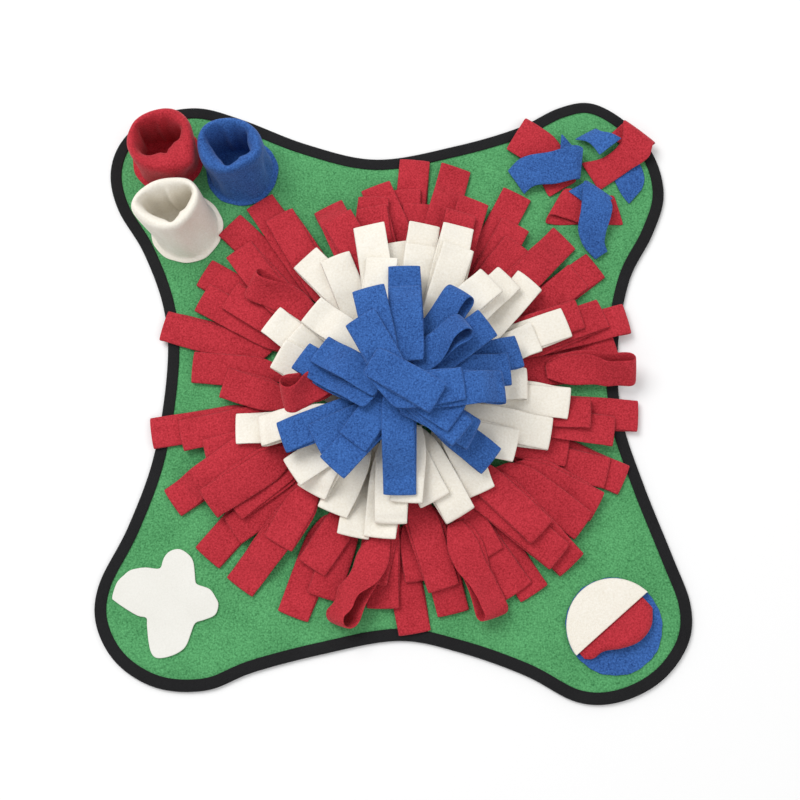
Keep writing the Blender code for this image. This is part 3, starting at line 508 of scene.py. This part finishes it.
def open_curve(knots: np.ndarray, steps: int) -> np.ndarray:
    """Return a smooth line through knots that never swings far past a sharp turn.

    Args:
        knots: Points in order, one row each.
        steps: Stations for each span.

    Returns:
        The stations, from the first knot to the last.
    """
    knots = np.asarray(knots, dtype=float)
    gap = np.maximum(np.linalg.norm(np.diff(knots, axis=0), axis=1), 0.001)
    run = np.concatenate(([0.0], np.cumsum(gap)))
    slope = np.diff(knots, axis=0) / gap[:, None]
    inner = (slope[:-1] * gap[1:, None] + slope[1:] * gap[:-1, None]) / (gap[:-1] + gap[1:])[:, None]
    tangent = np.concatenate((slope[:1], inner, slope[-1:]))
    stations = []
    for number in range(len(gap)):
        for step in range(steps):
            u = step / steps
            stations.append((1 + 2 * u) * (1 - u)**2 * knots[number]
                            + u * (1 - u)**2 * gap[number] * tangent[number]
                            + u**2 * (3 - 2 * u) * knots[number + 1]
                            + u**2 * (u - 1) * gap[number] * tangent[number + 1])
    stations.append(knots[-1])
    return np.array(stations)


def lay_plate(name: str, outline: np.ndarray, level: float, thick: float, steps: list) -> bpy.types.Object:
    """Make a flat cut of cloth or felt whose face steps up or down inside its edge.

    Args:
        name: The piece's name.
        outline: Its edge, counter-clockwise, in mm.
        level: Height of its face at the edge.
        thick: Its thickness below that face.
        steps: How far each inset goes in and up.

    Returns:
        The plate, which is the active object.
    """
    deselect()
    bpy.ops.mesh.primitive_circle_add(vertices=len(outline), radius=0.1, fill_type="NGON")
    piece = bpy.context.object
    piece.name = name
    flat = np.column_stack((outline, np.full(len(outline), level))) * MM
    piece.data.vertices.foreach_set("co", flat.reshape(-1))
    piece.data.update()
    edit_all()
    for width, rise in steps:
        bpy.ops.mesh.inset(thickness=width * MM, depth=rise * MM, use_even_offset=False)
    bpy.ops.object.mode_set(mode="OBJECT")
    apply_modifier(piece, "SOLIDIFY", thickness=thick * MM, offset=-1.0)
    return piece


def lay_felt(name: str, outline: np.ndarray, thick: float) -> bpy.types.Object:
    """Make a flat cut with soft edges, just above the mat.

    Args:
        name: The piece's name.
        outline: Its edge, counter-clockwise, in mm.
        thick: Its thickness.

    Returns:
        The cut, which is the active object.
    """
    steps = [(width * FELT_SOFT, rise * FELT_SOFT) for width, rise in ((0.3, 0.6), (0.7, 0.4), (1.8, 0.0))]
    return lay_plate(name, outline, PANEL_TOP + FELT_LIFT + thick - FELT_SOFT, thick - FELT_SOFT, steps)


def inset(points: np.ndarray, depth: float) -> np.ndarray:
    """Move an outline inwards.

    Args:
        points: The outline, counter-clockwise.
        depth: How far, in mm.

    Returns:
        The new outline.
    """
    along = np.roll(points, -1, 0) - np.roll(points, 1, 0)
    along /= np.linalg.norm(along, axis=1, keepdims=True)
    return points + np.stack((-along[:, 1], along[:, 0]), axis=1) * depth


def length_of(points: np.ndarray) -> float:
    """Return the length of a line of points."""
    return float(np.linalg.norm(np.diff(points, axis=0), axis=1).sum())


def polar(bearing: float, reach: float) -> np.ndarray:
    """Return the plan point at a bearing in degrees and a distance from the middle."""
    turn = math.radians(bearing)
    return reach * np.array((math.cos(turn), math.sin(turn)))


# ---- the heap ----
class Heap:
    """The height of all that has been laid, in mm, on a 1 mm grid seen from above."""

    REACH = 345

    def __init__(self, floor: float) -> None:
        """Start with a bare mat."""
        self.top = np.full((2 * self.REACH, 2 * self.REACH), floor)

    def cells(self, plan: np.ndarray) -> tuple:
        """Return the grid cells of plan points."""
        index = np.clip(np.rint(plan).astype(int) + self.REACH, 1, 2 * self.REACH - 2)
        return index[..., 0], index[..., 1]

    def level(self, plan: np.ndarray) -> np.ndarray:
        """Look up the heap's height at and just round plan points.

        Args:
            plan: The points.

        Returns:
            The greatest height near each.
        """
        east, north = self.cells(plan)
        near = [self.top[east + i, north + j] for i in (-1, 0, 1) for j in (-1, 0, 1)]
        return np.maximum.reduce(near)

    def cover(self, surface: np.ndarray, above: float) -> None:
        """Raise the heap to a surface of close points, plus a height above it."""
        np.maximum.at(self.top, self.cells(surface[..., :2]), surface[..., 2] + above)


class Leg(NamedTuple):
    """One leg of a loop, sampled each millimetre from its root to its tip."""
    plan: np.ndarray
    side: np.ndarray        # unit vector across, towards the left
    half: np.ndarray        # half the width at each sample
    height: np.ndarray
    lift: Callable          # height added across: (sample numbers, shares across) to mm


@dataclass
class Rosette:
    """The heap of folded strips in the middle of the mat."""

    heap: Heap
    steepest: float = 1.15
    round_off: int = 7            # mm over which a leg's bends are eased
    columns: int = 7
    leans: tuple = (0.0, -0.12, 0.12, -0.25, 0.25)      # tilts across that a lower leg may take
    lean_gain: float = 0.6        # mm that a tilt must save on average
    tip_marks: tuple = (2.5, 5.5, 9.0, 13.0)    # mm from its tip that a leg has rows
    tip_zone: float = 17.0        # beyond this its rows are evenly spaced
    pitch: float = 6.5            # mm between them
    tip_rows: int = 5
    tip_sweep: float = 60.0       # degrees each way round the tip
    tip_bow: float = 0.6          # mm that the middle of a tip stands out
    spring: float = 0.16          # share of its length over which an upper leg rises to its tip
    spring_open: float = 0.30
    sag_run: float = 22.0         # mm either side of its middle that a loop's sag reaches
    roll_lift: float = 0.55       # share of half its width that a rolled loop is lifted by
    across: np.ndarray = field(default_factory=lambda: np.linspace(-1.0, 1.0, 37))
    random: np.random.Generator = field(default_factory=lambda: np.random.default_rng(SEED))

    def limit(self, need: np.ndarray) -> np.ndarray:
        """Return heights that clear what a leg lies on and bend softly.

        Args:
            need: The least height at each millimetre.

        Returns:
            The heights, which climb no steeper than cloth does.
        """
        run = np.arange(len(need), dtype=float)
        need = (need[None, :] - self.steepest * np.abs(run[None, :] - run[:, None])).max(axis=1)
        reach = min(self.round_off, max(1, len(need) // 3))
        padded = np.pad(need, 2 * reach, mode="edge")
        windows = np.lib.stride_tricks.sliding_window_view(padded, 2 * reach + 1)
        windows = np.lib.stride_tricks.sliding_window_view(windows.max(axis=1), 2 * reach + 1)
        weights = np.hanning(2 * reach + 3)[1:-1]
        return windows @ (weights / weights.sum())

    def surface(self, leg: Leg, at: np.ndarray, shares: np.ndarray) -> np.ndarray:
        """Return points of a leg.

        Args:
            leg: The leg.
            at: Places along it, in mm from its root.
            shares: Places across it, from -1 to 1.

        Returns:
            Rows along by columns across of points.
        """
        number = np.arange(len(leg.half), dtype=float)
        pick = [np.interp(at, number, column) for column in (*leg.plan.T, *leg.side.T, leg.half, leg.height)]
        plan, side = np.stack(pick[:2], axis=1), np.stack(pick[2:4], axis=1)
        flat = plan[:, None, :] + side[:, None, :] * (pick[4][:, None] * shares[None, :])[..., None]
        rise = pick[5][:, None] + leg.lift(at[:, None], shares[None, :])
        return np.concatenate((flat, rise[..., None]), axis=2)

    def lay_leg(self, start: np.ndarray, end: np.ndarray, gather: float, bow: float, leans: tuple,
                shape: Callable) -> Leg:
        """Lay one leg of a loop on the heap.

        Args:
            start: Its root in plan.
            end: Its tip in plan.
            gather: Share of its width left at the root.
            bow: How far its middle stands to one side.
            leans: Tilts across it that it may take.
            shape: Height of its creases: (places along, shares across) to mm.

        Returns:
            The leg, at rest on the heap, which it isn't part of yet.
        """
        length = float(np.linalg.norm(end - start))
        number = max(int(math.ceil(length)), 6) + 1
        share = np.linspace(0.0, 1.0, number)
        ahead = (end - start) / length
        left = np.array((-ahead[1], ahead[0]))
        plan = start + share[:, None] * (end - start) + left * (bow * np.sin(math.pi * share))[:, None]
        open_up = np.clip(share * length / min(GATHER_RUN, 0.45 * length), 0.0, 1.0)
        half = STRIP_WIDTH / 2 * (gather + (1 - gather) * np.sin(open_up * math.pi / 2))
        side = np.repeat(left[None, :], number, axis=0)
        spots = plan[:, None, :] + side[:, None, :] * (half[:, None] * self.across[None, :])[..., None]
        level = self.heap.level(spots) - shape(share[:, None] * length, self.across[None, :])
        best = None
        for lean in leans:
            need = (level - lean * STRIP_WIDTH / 2 * self.across[None, :]).max(axis=1)
            height = self.limit(need + AIR + LAID_THICK / 2)
            if best is None or height.mean() < best[0].mean() - self.lean_gain:
                best = (height, lean)
        height, lean = best
        return Leg(plan, side, half, height,
                   lambda at, shares: shape(at, shares) + lean * STRIP_WIDTH / 2 * shares)

    def cover(self, leg: Leg) -> None:
        """Make a leg part of the heap.

        Args:
            leg: The leg.
        """
        at = np.linspace(0.0, len(leg.half) - 1.0, 2 * len(leg.half))
        slope = np.abs(np.gradient(leg.height)).mean()
        surface = self.surface(leg, at, np.linspace(-1.03, 1.03, 49))
        self.heap.cover(surface, LAID_THICK / 2 * math.hypot(1.0, slope))

    def creases(self, cloth: Cloth, length: float) -> Callable:
        """Return the height of a loop's soft creases and curl, as a function of place.

        Args:
            cloth: White cloth is limper than the others, so it ripples more.
            length: The loop's length.

        Returns:
            A function from places along and shares across to mm.
        """
        limp = LIMPNESS[cloth]
        curl = self.random.uniform(-0.9, 1.1) * limp
        ripple, wave = self.random.uniform(0.3, 0.9) * limp, self.random.uniform(34, 60) / limp**0.5
        phase, slant = self.random.uniform(0, math.tau), self.random.uniform(-1.2, 1.2)
        sag, middle = self.random.uniform(-0.8, 0.8) * limp, self.random.uniform(0.5, 0.8) * length

        def shape(at: np.ndarray, shares: np.ndarray) -> np.ndarray:
            """Work out the creases.

            Args:
                at: Places along the loop, in mm.
                shares: Places across it, from -1 to 1.

            Returns:
                Heights in mm.
            """
            edge = ripple * shares * np.sin(math.tau * at / wave + phase + slant * shares)
            bowl = sag * np.exp(-((at - middle) / self.sag_run) ** 2) * (1 - shares**2)
            return edge + curl * (shares**2 - 0.4) + bowl
        return shape

    def turn(self, lower: Leg, upper: Leg) -> np.ndarray:
        """Carry a strip round its tip.

        Args:
            lower: The leg below.
            upper: The leg above.

        Returns:
            The rows of points from the lower leg to the upper.
        """
        shares = np.linspace(-1.0, 1.0, self.columns)
        low, high = (self.surface(leg, np.array((len(leg.half) - 1.0,)), shares)[0] for leg in (lower, upper))
        ahead = lower.plan[-1] - lower.plan[-2]
        ahead = np.append(ahead / np.linalg.norm(ahead), 0.0)
        radius = (high[:, 2] - low[:, 2]) / 2
        rows = []
        for angle in np.linspace(-self.tip_sweep, self.tip_sweep, self.tip_rows):
            swing = math.radians(angle)
            row = (low + high) / 2 + (high - low) / 2 * math.sin(swing)
            bow = self.tip_bow * (1 - shares**2) * math.cos(swing)
            rows.append(row + ahead * (radius * math.cos(swing) + bow)[:, None])
        return np.array(rows)

    def stations(self, length: float) -> np.ndarray:
        """Choose places along a leg, closer towards its tip.

        Args:
            length: The leg's length.

        Returns:
            The places, in mm from its root.
        """
        near = length - np.array(self.tip_marks[::-1])
        even = length - self.tip_zone
        far = np.linspace(0.0, even, max(int(round(even / self.pitch)), 2))
        return np.concatenate((far, near, [length]))

    def lay_loop(self, band: Band, number: int) -> tuple:
        """Lay one loop: its lower leg, its tip and its upper leg.

        Args:
            band: The band.
            number: Which of its loops.

        Returns:
            The loop's rows of points from root to root.
        """
        loop = band.loops[number]
        tip = polar(loop.bearing, loop.reach)
        ahead = polar(loop.bearing + loop.skew, 1.0)
        length = loop.reach - (band.root - band.step * number)
        root = tip - ahead * length
        eye = band.eye or self.random.uniform(*SLACK)
        tuck = PRESS * (eye + LAID_THICK + AIR) / 2 + STRIP_THICK / 2
        left = np.array((-ahead[1], ahead[0]))
        swing = math.tan(math.radians(self.random.uniform(0.8, 2.4) * self.random.choice((-1, 1)))) * length
        bow = self.random.uniform(-1.4, 1.4)
        shape = self.creases(band.cloth, length)
        end = tip - ahead * tuck
        gather = loop.gather or ROOT_SHARE[band.cloth]
        lower = self.lay_leg(root, end, gather, bow, self.leans, shape)
        self.cover(lower)
        lean = float(lower.lift(np.array(0.0), np.array(1.0)) - shape(np.array(0.0), np.array(1.0)))
        lean /= STRIP_WIDTH / 2
        upper = self.lay_leg(root + left * swing, end, gather, -bow, (lean,), shape)
        spring = (self.spring_open if band.eye else self.spring) * length
        run = np.arange(len(upper.half), dtype=float)
        upper.height[:] += eye * np.exp(-(((run[-1] - run) / spring) ** 2) * 0.9)
        self.cover(upper)
        shares = np.linspace(-1.0, 1.0, self.columns)
        low = self.surface(lower, self.stations(len(lower.half) - 1.0), shares)
        high = self.surface(upper, self.stations(len(upper.half) - 1.0)[::-1], shares)
        rows = np.concatenate((low, self.turn(lower, upper), high))
        if band.roll:
            rows = self.roll_over(rows, lower, math.radians(band.roll))
        return rows

    def roll_over(self, rows: np.ndarray, lower: Leg, roll: float) -> np.ndarray:
        """Roll an open loop about its own length, more towards its tip, so that its eye looks up.

        Args:
            rows: The loop's rows of points.
            lower: Its lower leg.
            roll: The turn at its tip in radians, left side up.

        Returns:
            The rolled rows.
        """
        length = len(lower.half) - 1.0
        ahead, left = lower.plan[-1] - lower.plan[-2], lower.side[0]
        ahead = ahead / np.linalg.norm(ahead)
        run = (rows[..., :2].mean(axis=1) - lower.plan[0]) @ ahead
        share = np.clip((run / length - 0.2) / 0.65, 0.0, 1.0)
        turn = (roll * share**2 * (3 - 2 * share))[:, None]
        base = np.interp(run, np.arange(len(lower.half)), lower.height)[:, None]
        line = lower.plan[0] + run[:, None] * ahead
        aside = ((rows[..., :2] - line[:, None, :]) * left).sum(axis=2)
        rise = rows[..., 2] - base
        lift = self.roll_lift * STRIP_WIDTH / 2 * np.sin(np.abs(turn))
        moved = aside * np.cos(turn) - rise * np.sin(turn) - aside
        plan = rows[..., :2] + moved[..., None] * left
        return np.dstack((plan, base + lift + aside * np.sin(turn) + rise * np.cos(turn)))

    def build_band(self, band: Band) -> None:
        """Lay a band and make it a strip of cloth.

        Args:
            band: The band.
        """
        parts = []
        for number in range(len(band.loops)):
            rows = self.lay_loop(band, number)
            if parts:
                last, first = parts[-1][-1], rows[0]
                parts.append(np.array([last + (first - last) * share for share in (0.33, 0.67)]))
            parts.append(rows)
        points = np.concatenate(parts)
        points[..., 2] = PANEL_TOP + (points[..., 2] - PANEL_TOP) * PRESS
        length = length_of(points[:, self.columns // 2])
        piece = lay_grid(band.name + "_strip", points, (STRIP_WIDTH, length), STRIP_THICK)
        finish_piece(piece, band.cloth, band.name)

    def build(self) -> None:
        """Lay every band, from the mat up."""
        for band in BANDS:
            self.build_band(band)


# ---- mat and binding ----
@dataclass
class Mat:
    """The green base and the tape round its edge."""

    steps: int = 8
    rim: float = 1.3

    def outline(self) -> np.ndarray:
        """Return the mat's smooth edge, counter-clockwise."""
        return ring_curve(OUTLINE[::-1], self.steps)

    def build_base(self) -> None:
        """Make the base: a flat cut with a lifted rim, puffed a little beside the tape."""
        outline = inset(self.outline(), TAPE_THICK + 0.3)
        steps = [(TAPE_WIDTH - 0.5, 0.0), (3.0, 0.5), (5.0, 0.1), (9.0, -0.6)]
        piece = lay_plate("mat_base", outline, PANEL_TOP, PANEL_TOP - self.rim, steps)
        finish_piece(piece, Cloth.GREEN, "mat_panel")

    def build_tape(self) -> None:
        """Make the binding tape, folded round the edge of the base."""
        edge = self.outline()
        half = TAPE_THICK / 2
        section = ((TAPE_WIDTH, half), (8.0, half), (3.0, half), (1.0, half + 0.1), (half, 1.4),
                   (half, 3.2), (1.2, TAPE_TOP - half - 0.1), (3.0, TAPE_TOP - half),
                   (6.0, TAPE_TOP - half + 0.15), (9.4, TAPE_TOP - half - 0.1), (TAPE_WIDTH, TAPE_TOP - half))
        rings = []
        for depth, height in section:
            line = inset(edge, depth)
            line = np.column_stack((line, np.full(len(line), height)))
            rings.append(np.concatenate((line, line[:1])))
        points = np.stack(rings, axis=1)
        length = length_of(points[:, 4])
        width = length_of(np.array(section, dtype=float))
        piece = lay_grid("binding_tape", points, (width, length), TAPE_THICK, ring=True)
        finish_piece(piece, Cloth.TAPE, "binding")

    def cover(self, heap: Heap) -> None:
        """Put the tape's upper leg on the heap, so that loops lie over it.

        Args:
            heap: The heap.
        """
        edge = ring_curve(OUTLINE[::-1], 40)
        for depth in np.arange(-1.0, TAPE_WIDTH + 1, 0.8):
            line = inset(edge, depth)
            heap.cover(np.column_stack((line, np.full(len(line), TAPE_TOP))), 0.2)


# ---- cups ----
class Ring(NamedTuple):
    """One ring of a cup's cloth, from its hem up the outside, over the rim and down the inside."""
    height: float
    foot: float         # shares of the foot's circle, the rim's and the mouth's outlines
    rim: float
    mouth: float
    out: float          # mm further out
    fold: float = 0.0   # share of the outside folds
    crease: float = 0.0  # share of the inside creases


CUP_RINGS = tuple(Ring(*row) for row in (
    (4.3, 1, 0, 0, 4.2), (4.7, 1, 0, 0, 2.8), (4.4, 1, 0, 0, 0.6), (5.0, 1, 0, 0, -0.9, 0.1),
    (8.0, 0.93, 0.07, 0, -1.2, 0.35), (15, 0.74, 0.26, 0, -1.3, 0.8), (24, 0.5, 0.5, 0, -0.8, 1.0),
    (34, 0.26, 0.74, 0, 0.0, 0.8), (43, 0.08, 0.92, 0, 0.6, 0.5), (50, 0, 1, 0, 0.7, 0.25),
    (55.5, 0, 1, 0, 0.3), (58.8, 0, 0.93, 0.07, 0), (60.6, 0, 0.78, 0.22, 0), (60.8, 0, 0.6, 0.4, 0),
    (59.3, 0, 0.38, 0.62, 0, 0, 0.1), (55, 0, 0.12, 0.88, 0, 0, 0.4), (47, 0, 0, 1, -0.4, 0, 0.7),
    (37, 0.05, 0, 0.95, -1.4, 0, 1.0), (25, 0.15, 0, 0.85, -2.6, 0, 1.0), (14, 0.3, 0, 0.7, -4.0, 0, 0.8),
    (7.6, 0.4, 0, 0.6, -5.5, 0, 0.5), (5.6, 0.5, 0, 0.5, -9, 0, 0.2),
))


@dataclass
class CupMaker:
    """Sews the cups: each one cloth, doubled at the rim, with a stitched hem and a floor."""

    sides: int = 72
    floor: float = 5.4

    def spread(self, outline: np.ndarray, middle: np.ndarray, turns: np.ndarray) -> np.ndarray:
        """Return an outline's distance from a middle point at each turn.

        Args:
            outline: Points round the middle.
            middle: The point.
            turns: Angles in radians.

        Returns:
            One distance for each turn.
        """
        way = outline - middle
        return np.interp(turns, np.arctan2(way[:, 1], way[:, 0]), np.hypot(*way.T), period=math.tau)

    def waves(self, creases: tuple, turns: np.ndarray) -> np.ndarray:
        """Add up creases round a cup.

        Args:
            creases: Bearing, width and depth of each.
            turns: Angles in radians.

        Returns:
            How far the wall is moved at each turn, in mm.
        """
        total = np.zeros_like(turns)
        for bearing, width, depth in creases:
            off = (np.degrees(turns) - bearing + 180) % 360 - 180
            total += depth * np.exp(-((off / width) ** 2))
        return total

    def build(self, cup: Cup) -> None:
        """Make one cup.

        Args:
            cup: The cup.
        """
        turns = np.linspace(0.0, math.tau, self.sides, endpoint=False)
        ways = np.column_stack((np.cos(turns), np.sin(turns)))
        rim, mouth = ring_curve(cup.rim, 6), ring_curve(cup.mouth, 6)
        foot_middle, rim_middle, mouth_middle = np.array(cup.foot, dtype=float), rim.mean(0), mouth.mean(0)
        rim_reach = self.spread(rim, rim_middle, turns)
        mouth_reach = self.spread(mouth, mouth_middle, turns)
        folds, creases = self.waves(cup.folds, turns), self.waves(cup.creases, turns)
        hem = 0.4 * np.sin(5 * turns + rim_middle[0]) + 0.3 * np.sin(11 * turns)
        rings = []
        for ring in CUP_RINGS:
            middle = ring.foot * foot_middle + ring.rim * rim_middle + ring.mouth * mouth_middle
            reach = ring.foot * cup.foot_radius + ring.rim * rim_reach + ring.mouth * mouth_reach + ring.out
            reach = reach + ring.fold * folds + ring.crease * creases + (hem if ring.out > 2 else 0.0)
            sag = 0.9 * np.sin(2 * turns + rim_middle[1]) * (ring.rim + ring.mouth)
            plan = middle + ways * reach[:, None]
            rings.append(np.column_stack((plan, ring.height + sag)))
        floor_middle = rings[-1].mean(0)
        for share in (0.5, 0.0):
            line = floor_middle + (rings[-1] - floor_middle) * share
            line[:, 2] = self.floor
            rings.append(line)
        points = np.stack(rings, axis=1)
        points = np.concatenate((points, points[:1]))
        around = max(length_of(points[:, at]) for at in range(len(CUP_RINGS)))
        height = length_of(points[0])
        piece = lay_grid(cup.name + "_cloth", points, (height, around), STRIP_THICK, ring=True)
        finish_piece(piece, cup.cloth, cup.name)


# ---- ribbons ----
@dataclass
class RibbonMaker:
    """Lays the loose strips, each along its rungs."""

    columns: int = 9
    steps: int = 7
    random: np.random.Generator = field(default_factory=lambda: np.random.default_rng(SEED + 1))

    def build(self, ribbon: Ribbon) -> None:
        """Make one ribbon.

        Args:
            ribbon: The ribbon.
        """
        rungs = np.array(ribbon.rungs, dtype=float)
        left, right = open_curve(rungs[:, :3], self.steps), open_curve(rungs[:, 3:], self.steps)
        shares = np.linspace(-1.0, 1.0, self.columns)
        middle, half = (left + right) / 2, (right - left) / 2
        points = middle[:, None, :] + half[:, None, :] * shares[None, :, None]
        phase = self.random.uniform(0, math.tau)
        run = np.linspace(0.0, math.tau * len(rungs) / 3, len(points))
        points[..., 2] += ribbon.crown * (1 - shares**2)[None, :]
        points[..., 2] += 0.25 * np.sin(run + phase)[:, None] * shares[None, :]
        length = length_of(middle)
        piece = lay_grid(ribbon.name + "_strip", points, (STRIP_WIDTH, length), STRIP_THICK)
        finish_piece(piece, ribbon.cloth, ribbon.name)


# ---- clover and ball ----
@dataclass
class Clover:
    """The flat felt clover in the lower left corner."""

    thick: float = 2.0

    def build(self) -> None:
        """Cut the clover and lay it on the mat."""
        outline = ring_curve(CLOVER[::-1], 4)
        piece = lay_felt("clover_felt", outline, self.thick)
        finish_piece(piece, Cloth.FELT, "clover_patch")


@dataclass
class Ball:
    """The ball in the lower right corner: a blue disc, a puffed red flap and a white half flap."""

    sides: int = 96
    disc_thick: float = 1.8
    base: float = 6.45            # height of the flaps' middle where they lie on the disc

    def place(self, run: np.ndarray, off: np.ndarray, height: np.ndarray) -> np.ndarray:
        """Return points given along and off the chord, in mm.

        Args:
            run: Distances along the chord.
            off: Distances off it, towards the blue side.
            height: Heights.

        Returns:
            The points, stacked along a last axis.
        """
        turn = math.radians(BALL_CHORD)
        x = BALL_MIDDLE[0] + run * math.cos(turn) + off * math.sin(turn)
        y = BALL_MIDDLE[1] + run * math.sin(turn) - off * math.cos(turn)
        return np.stack(np.broadcast_arrays(x, y, height), axis=-1)

    def build_disc(self) -> None:
        """Make the blue disc."""
        turns = np.linspace(0.0, math.tau, self.sides, endpoint=False)
        reach = BALL_RADIUS + 0.3 * np.sin(9 * turns) + 0.25 * np.sin(23 * turns)
        outline = np.array(BALL_MIDDLE) + np.column_stack((np.cos(turns), np.sin(turns))) * reach[:, None]
        piece = lay_felt("ball_disc_felt", outline, self.disc_thick)
        finish_piece(piece, Cloth.BLUE, "ball_disc")

    def build_red_flap(self) -> None:
        """Make the red flap: flat under the white one, then arched to its free edge."""
        stations = np.array(RED_FLAP, dtype=float)
        run, edge, crown = open_curve(stations, 6).T
        crown = np.maximum(crown, 0.0)
        start = WHITE_EDGE - 9 * (1 - (run / 50) ** 2)
        rows = [self.place(run, start, np.full_like(run, self.base))]
        rows.append(self.place(run, np.full_like(run, WHITE_EDGE + 1.0), np.full_like(run, self.base + 0.8)))
        for across, rise in ((0.1, 0.3), (0.25, 0.62), (0.45, 0.88), (0.65, 1.0), (0.82, 0.98), (0.94, 0.8),
                             (1.0, 0.55)):
            off = WHITE_EDGE + 1 + across * (edge - WHITE_EDGE - 1)
            rows.append(self.place(run, off, self.base + np.maximum(rise * crown, 0.8)))
        points = np.stack(rows, axis=1)
        size = (length_of(points[len(run) // 2]), length_of(points[:, 4]))
        piece = lay_grid("ball_red_cloth", points, size, STRIP_THICK)
        finish_piece(piece, Cloth.RED, "ball_flap_red")

    def build_white_flap(self) -> None:
        """Make the white flap, which springs up towards its straight edge."""
        radius = BALL_RADIUS - 0.5
        turns = np.linspace(0.0, math.pi, 49)
        run = -0.995 * radius * np.cos(turns)
        rim = -np.sqrt(radius**2 - run**2)
        edge = np.maximum(WHITE_EDGE, rim + 1.5)
        spring = 4.2 * (1 - 0.35 * (run / radius) ** 2)
        rows = []
        for share in (0.0, 0.06, 0.2, 0.4, 0.6, 0.8, 0.94, 1.0):
            rows.append(self.place(run, rim + share * (edge - rim), self.base + math.sqrt(share) * spring))
        points = np.stack(rows, axis=1)
        size = (length_of(points[24]), length_of(points[:, -1]))
        piece = lay_grid("ball_white_cloth", points, size, STRIP_THICK)
        finish_piece(piece, Cloth.WHITE, "ball_flap_white")

    def build(self) -> None:
        """Make the disc and both flaps."""
        self.build_disc()
        self.build_red_flap()
        self.build_white_flap()


# ---- studio ----
@dataclass
class Studio:
    """Floor, soft light and camera."""

    tilt: float = 12.0
    eye: tuple = (0.002, -0.2837, 1.3205)
    lens: float = 60.1

    def build_floor(self) -> None:
        """Make the plain pale floor."""
        deselect()
        bpy.ops.mesh.primitive_plane_add(size=8.0, location=(0.0, 0.0, -0.0003))
        floor = bpy.context.object
        floor.name = "studio_floor"
        material = bpy.data.materials.new("studio_floor_white")
        material.use_nodes = True
        shader = material.node_tree.nodes["Principled BSDF"]
        shader.inputs["Base Color"].default_value = (0.9, 0.9, 0.9, 1.0)
        shader.inputs["Roughness"].default_value = 0.8
        floor.data.materials.append(material)

    def add_light(self, name: str, place: tuple, size: float, power: float) -> None:
        """Add a soft square light that faces the mat.

        Args:
            name: Its name.
            place: Where it hangs, in metres.
            size: Its side.
            power: Its power in watts.
        """
        bpy.ops.object.light_add(type="AREA", location=place)
        light = bpy.context.object
        light.name = name
        light.data.shape = "SQUARE"
        light.data.size = size
        light.data.energy = power
        reach = math.hypot(place[0], place[1])
        facing = math.atan2(place[1], place[0]) + math.pi / 2
        light.rotation_euler = (math.atan2(reach, place[2]), 0.0, facing)

    def build(self) -> None:
        """Make the floor, the lights and the camera."""
        self.build_floor()
        self.add_light("key_light", (-1.3, 1.2, 2.4), 1.6, 52.0)
        self.add_light("fill_light", (1.5, -0.9, 2.2), 2.2, 14.0)
        world = bpy.data.worlds.new("studio_air")
        world.use_nodes = True
        air = world.node_tree.nodes["Background"]
        air.inputs["Color"].default_value = (1.0, 1.0, 1.0, 1.0)
        air.inputs["Strength"].default_value = 0.62
        bpy.context.scene.world = world
        bpy.ops.object.camera_add(location=self.eye, rotation=(math.radians(self.tilt), 0.0, 0.0))
        camera = bpy.context.object
        camera.name = "studio_camera"
        camera.data.lens = self.lens
        camera.data.sensor_width = 36.0
        bpy.context.scene.camera = camera
        bpy.context.scene.view_settings.view_transform = "Standard"


def main() -> None:
    """Build the mat from the base up, then the studio."""
    logging.basicConfig(level=logging.INFO, format="%(message)s")
    Studio().build()
    mat = Mat()
    mat.build_base()
    mat.build_tape()
    heap = Heap(PANEL_TOP)
    mat.cover(heap)
    Rosette(heap).build()
    for cup in CUPS:
        CupMaker().build(cup)
    ribbon_maker = RibbonMaker()
    for ribbon in RIBBONS:
        ribbon_maker.build(ribbon)
    Clover().build()
    Ball().build()
    LOG.info("the heap is %.1f mm high", PANEL_TOP + (heap.top.max() - PANEL_TOP) * PRESS)
    deselect()


if __name__ == "__main__":
    main()
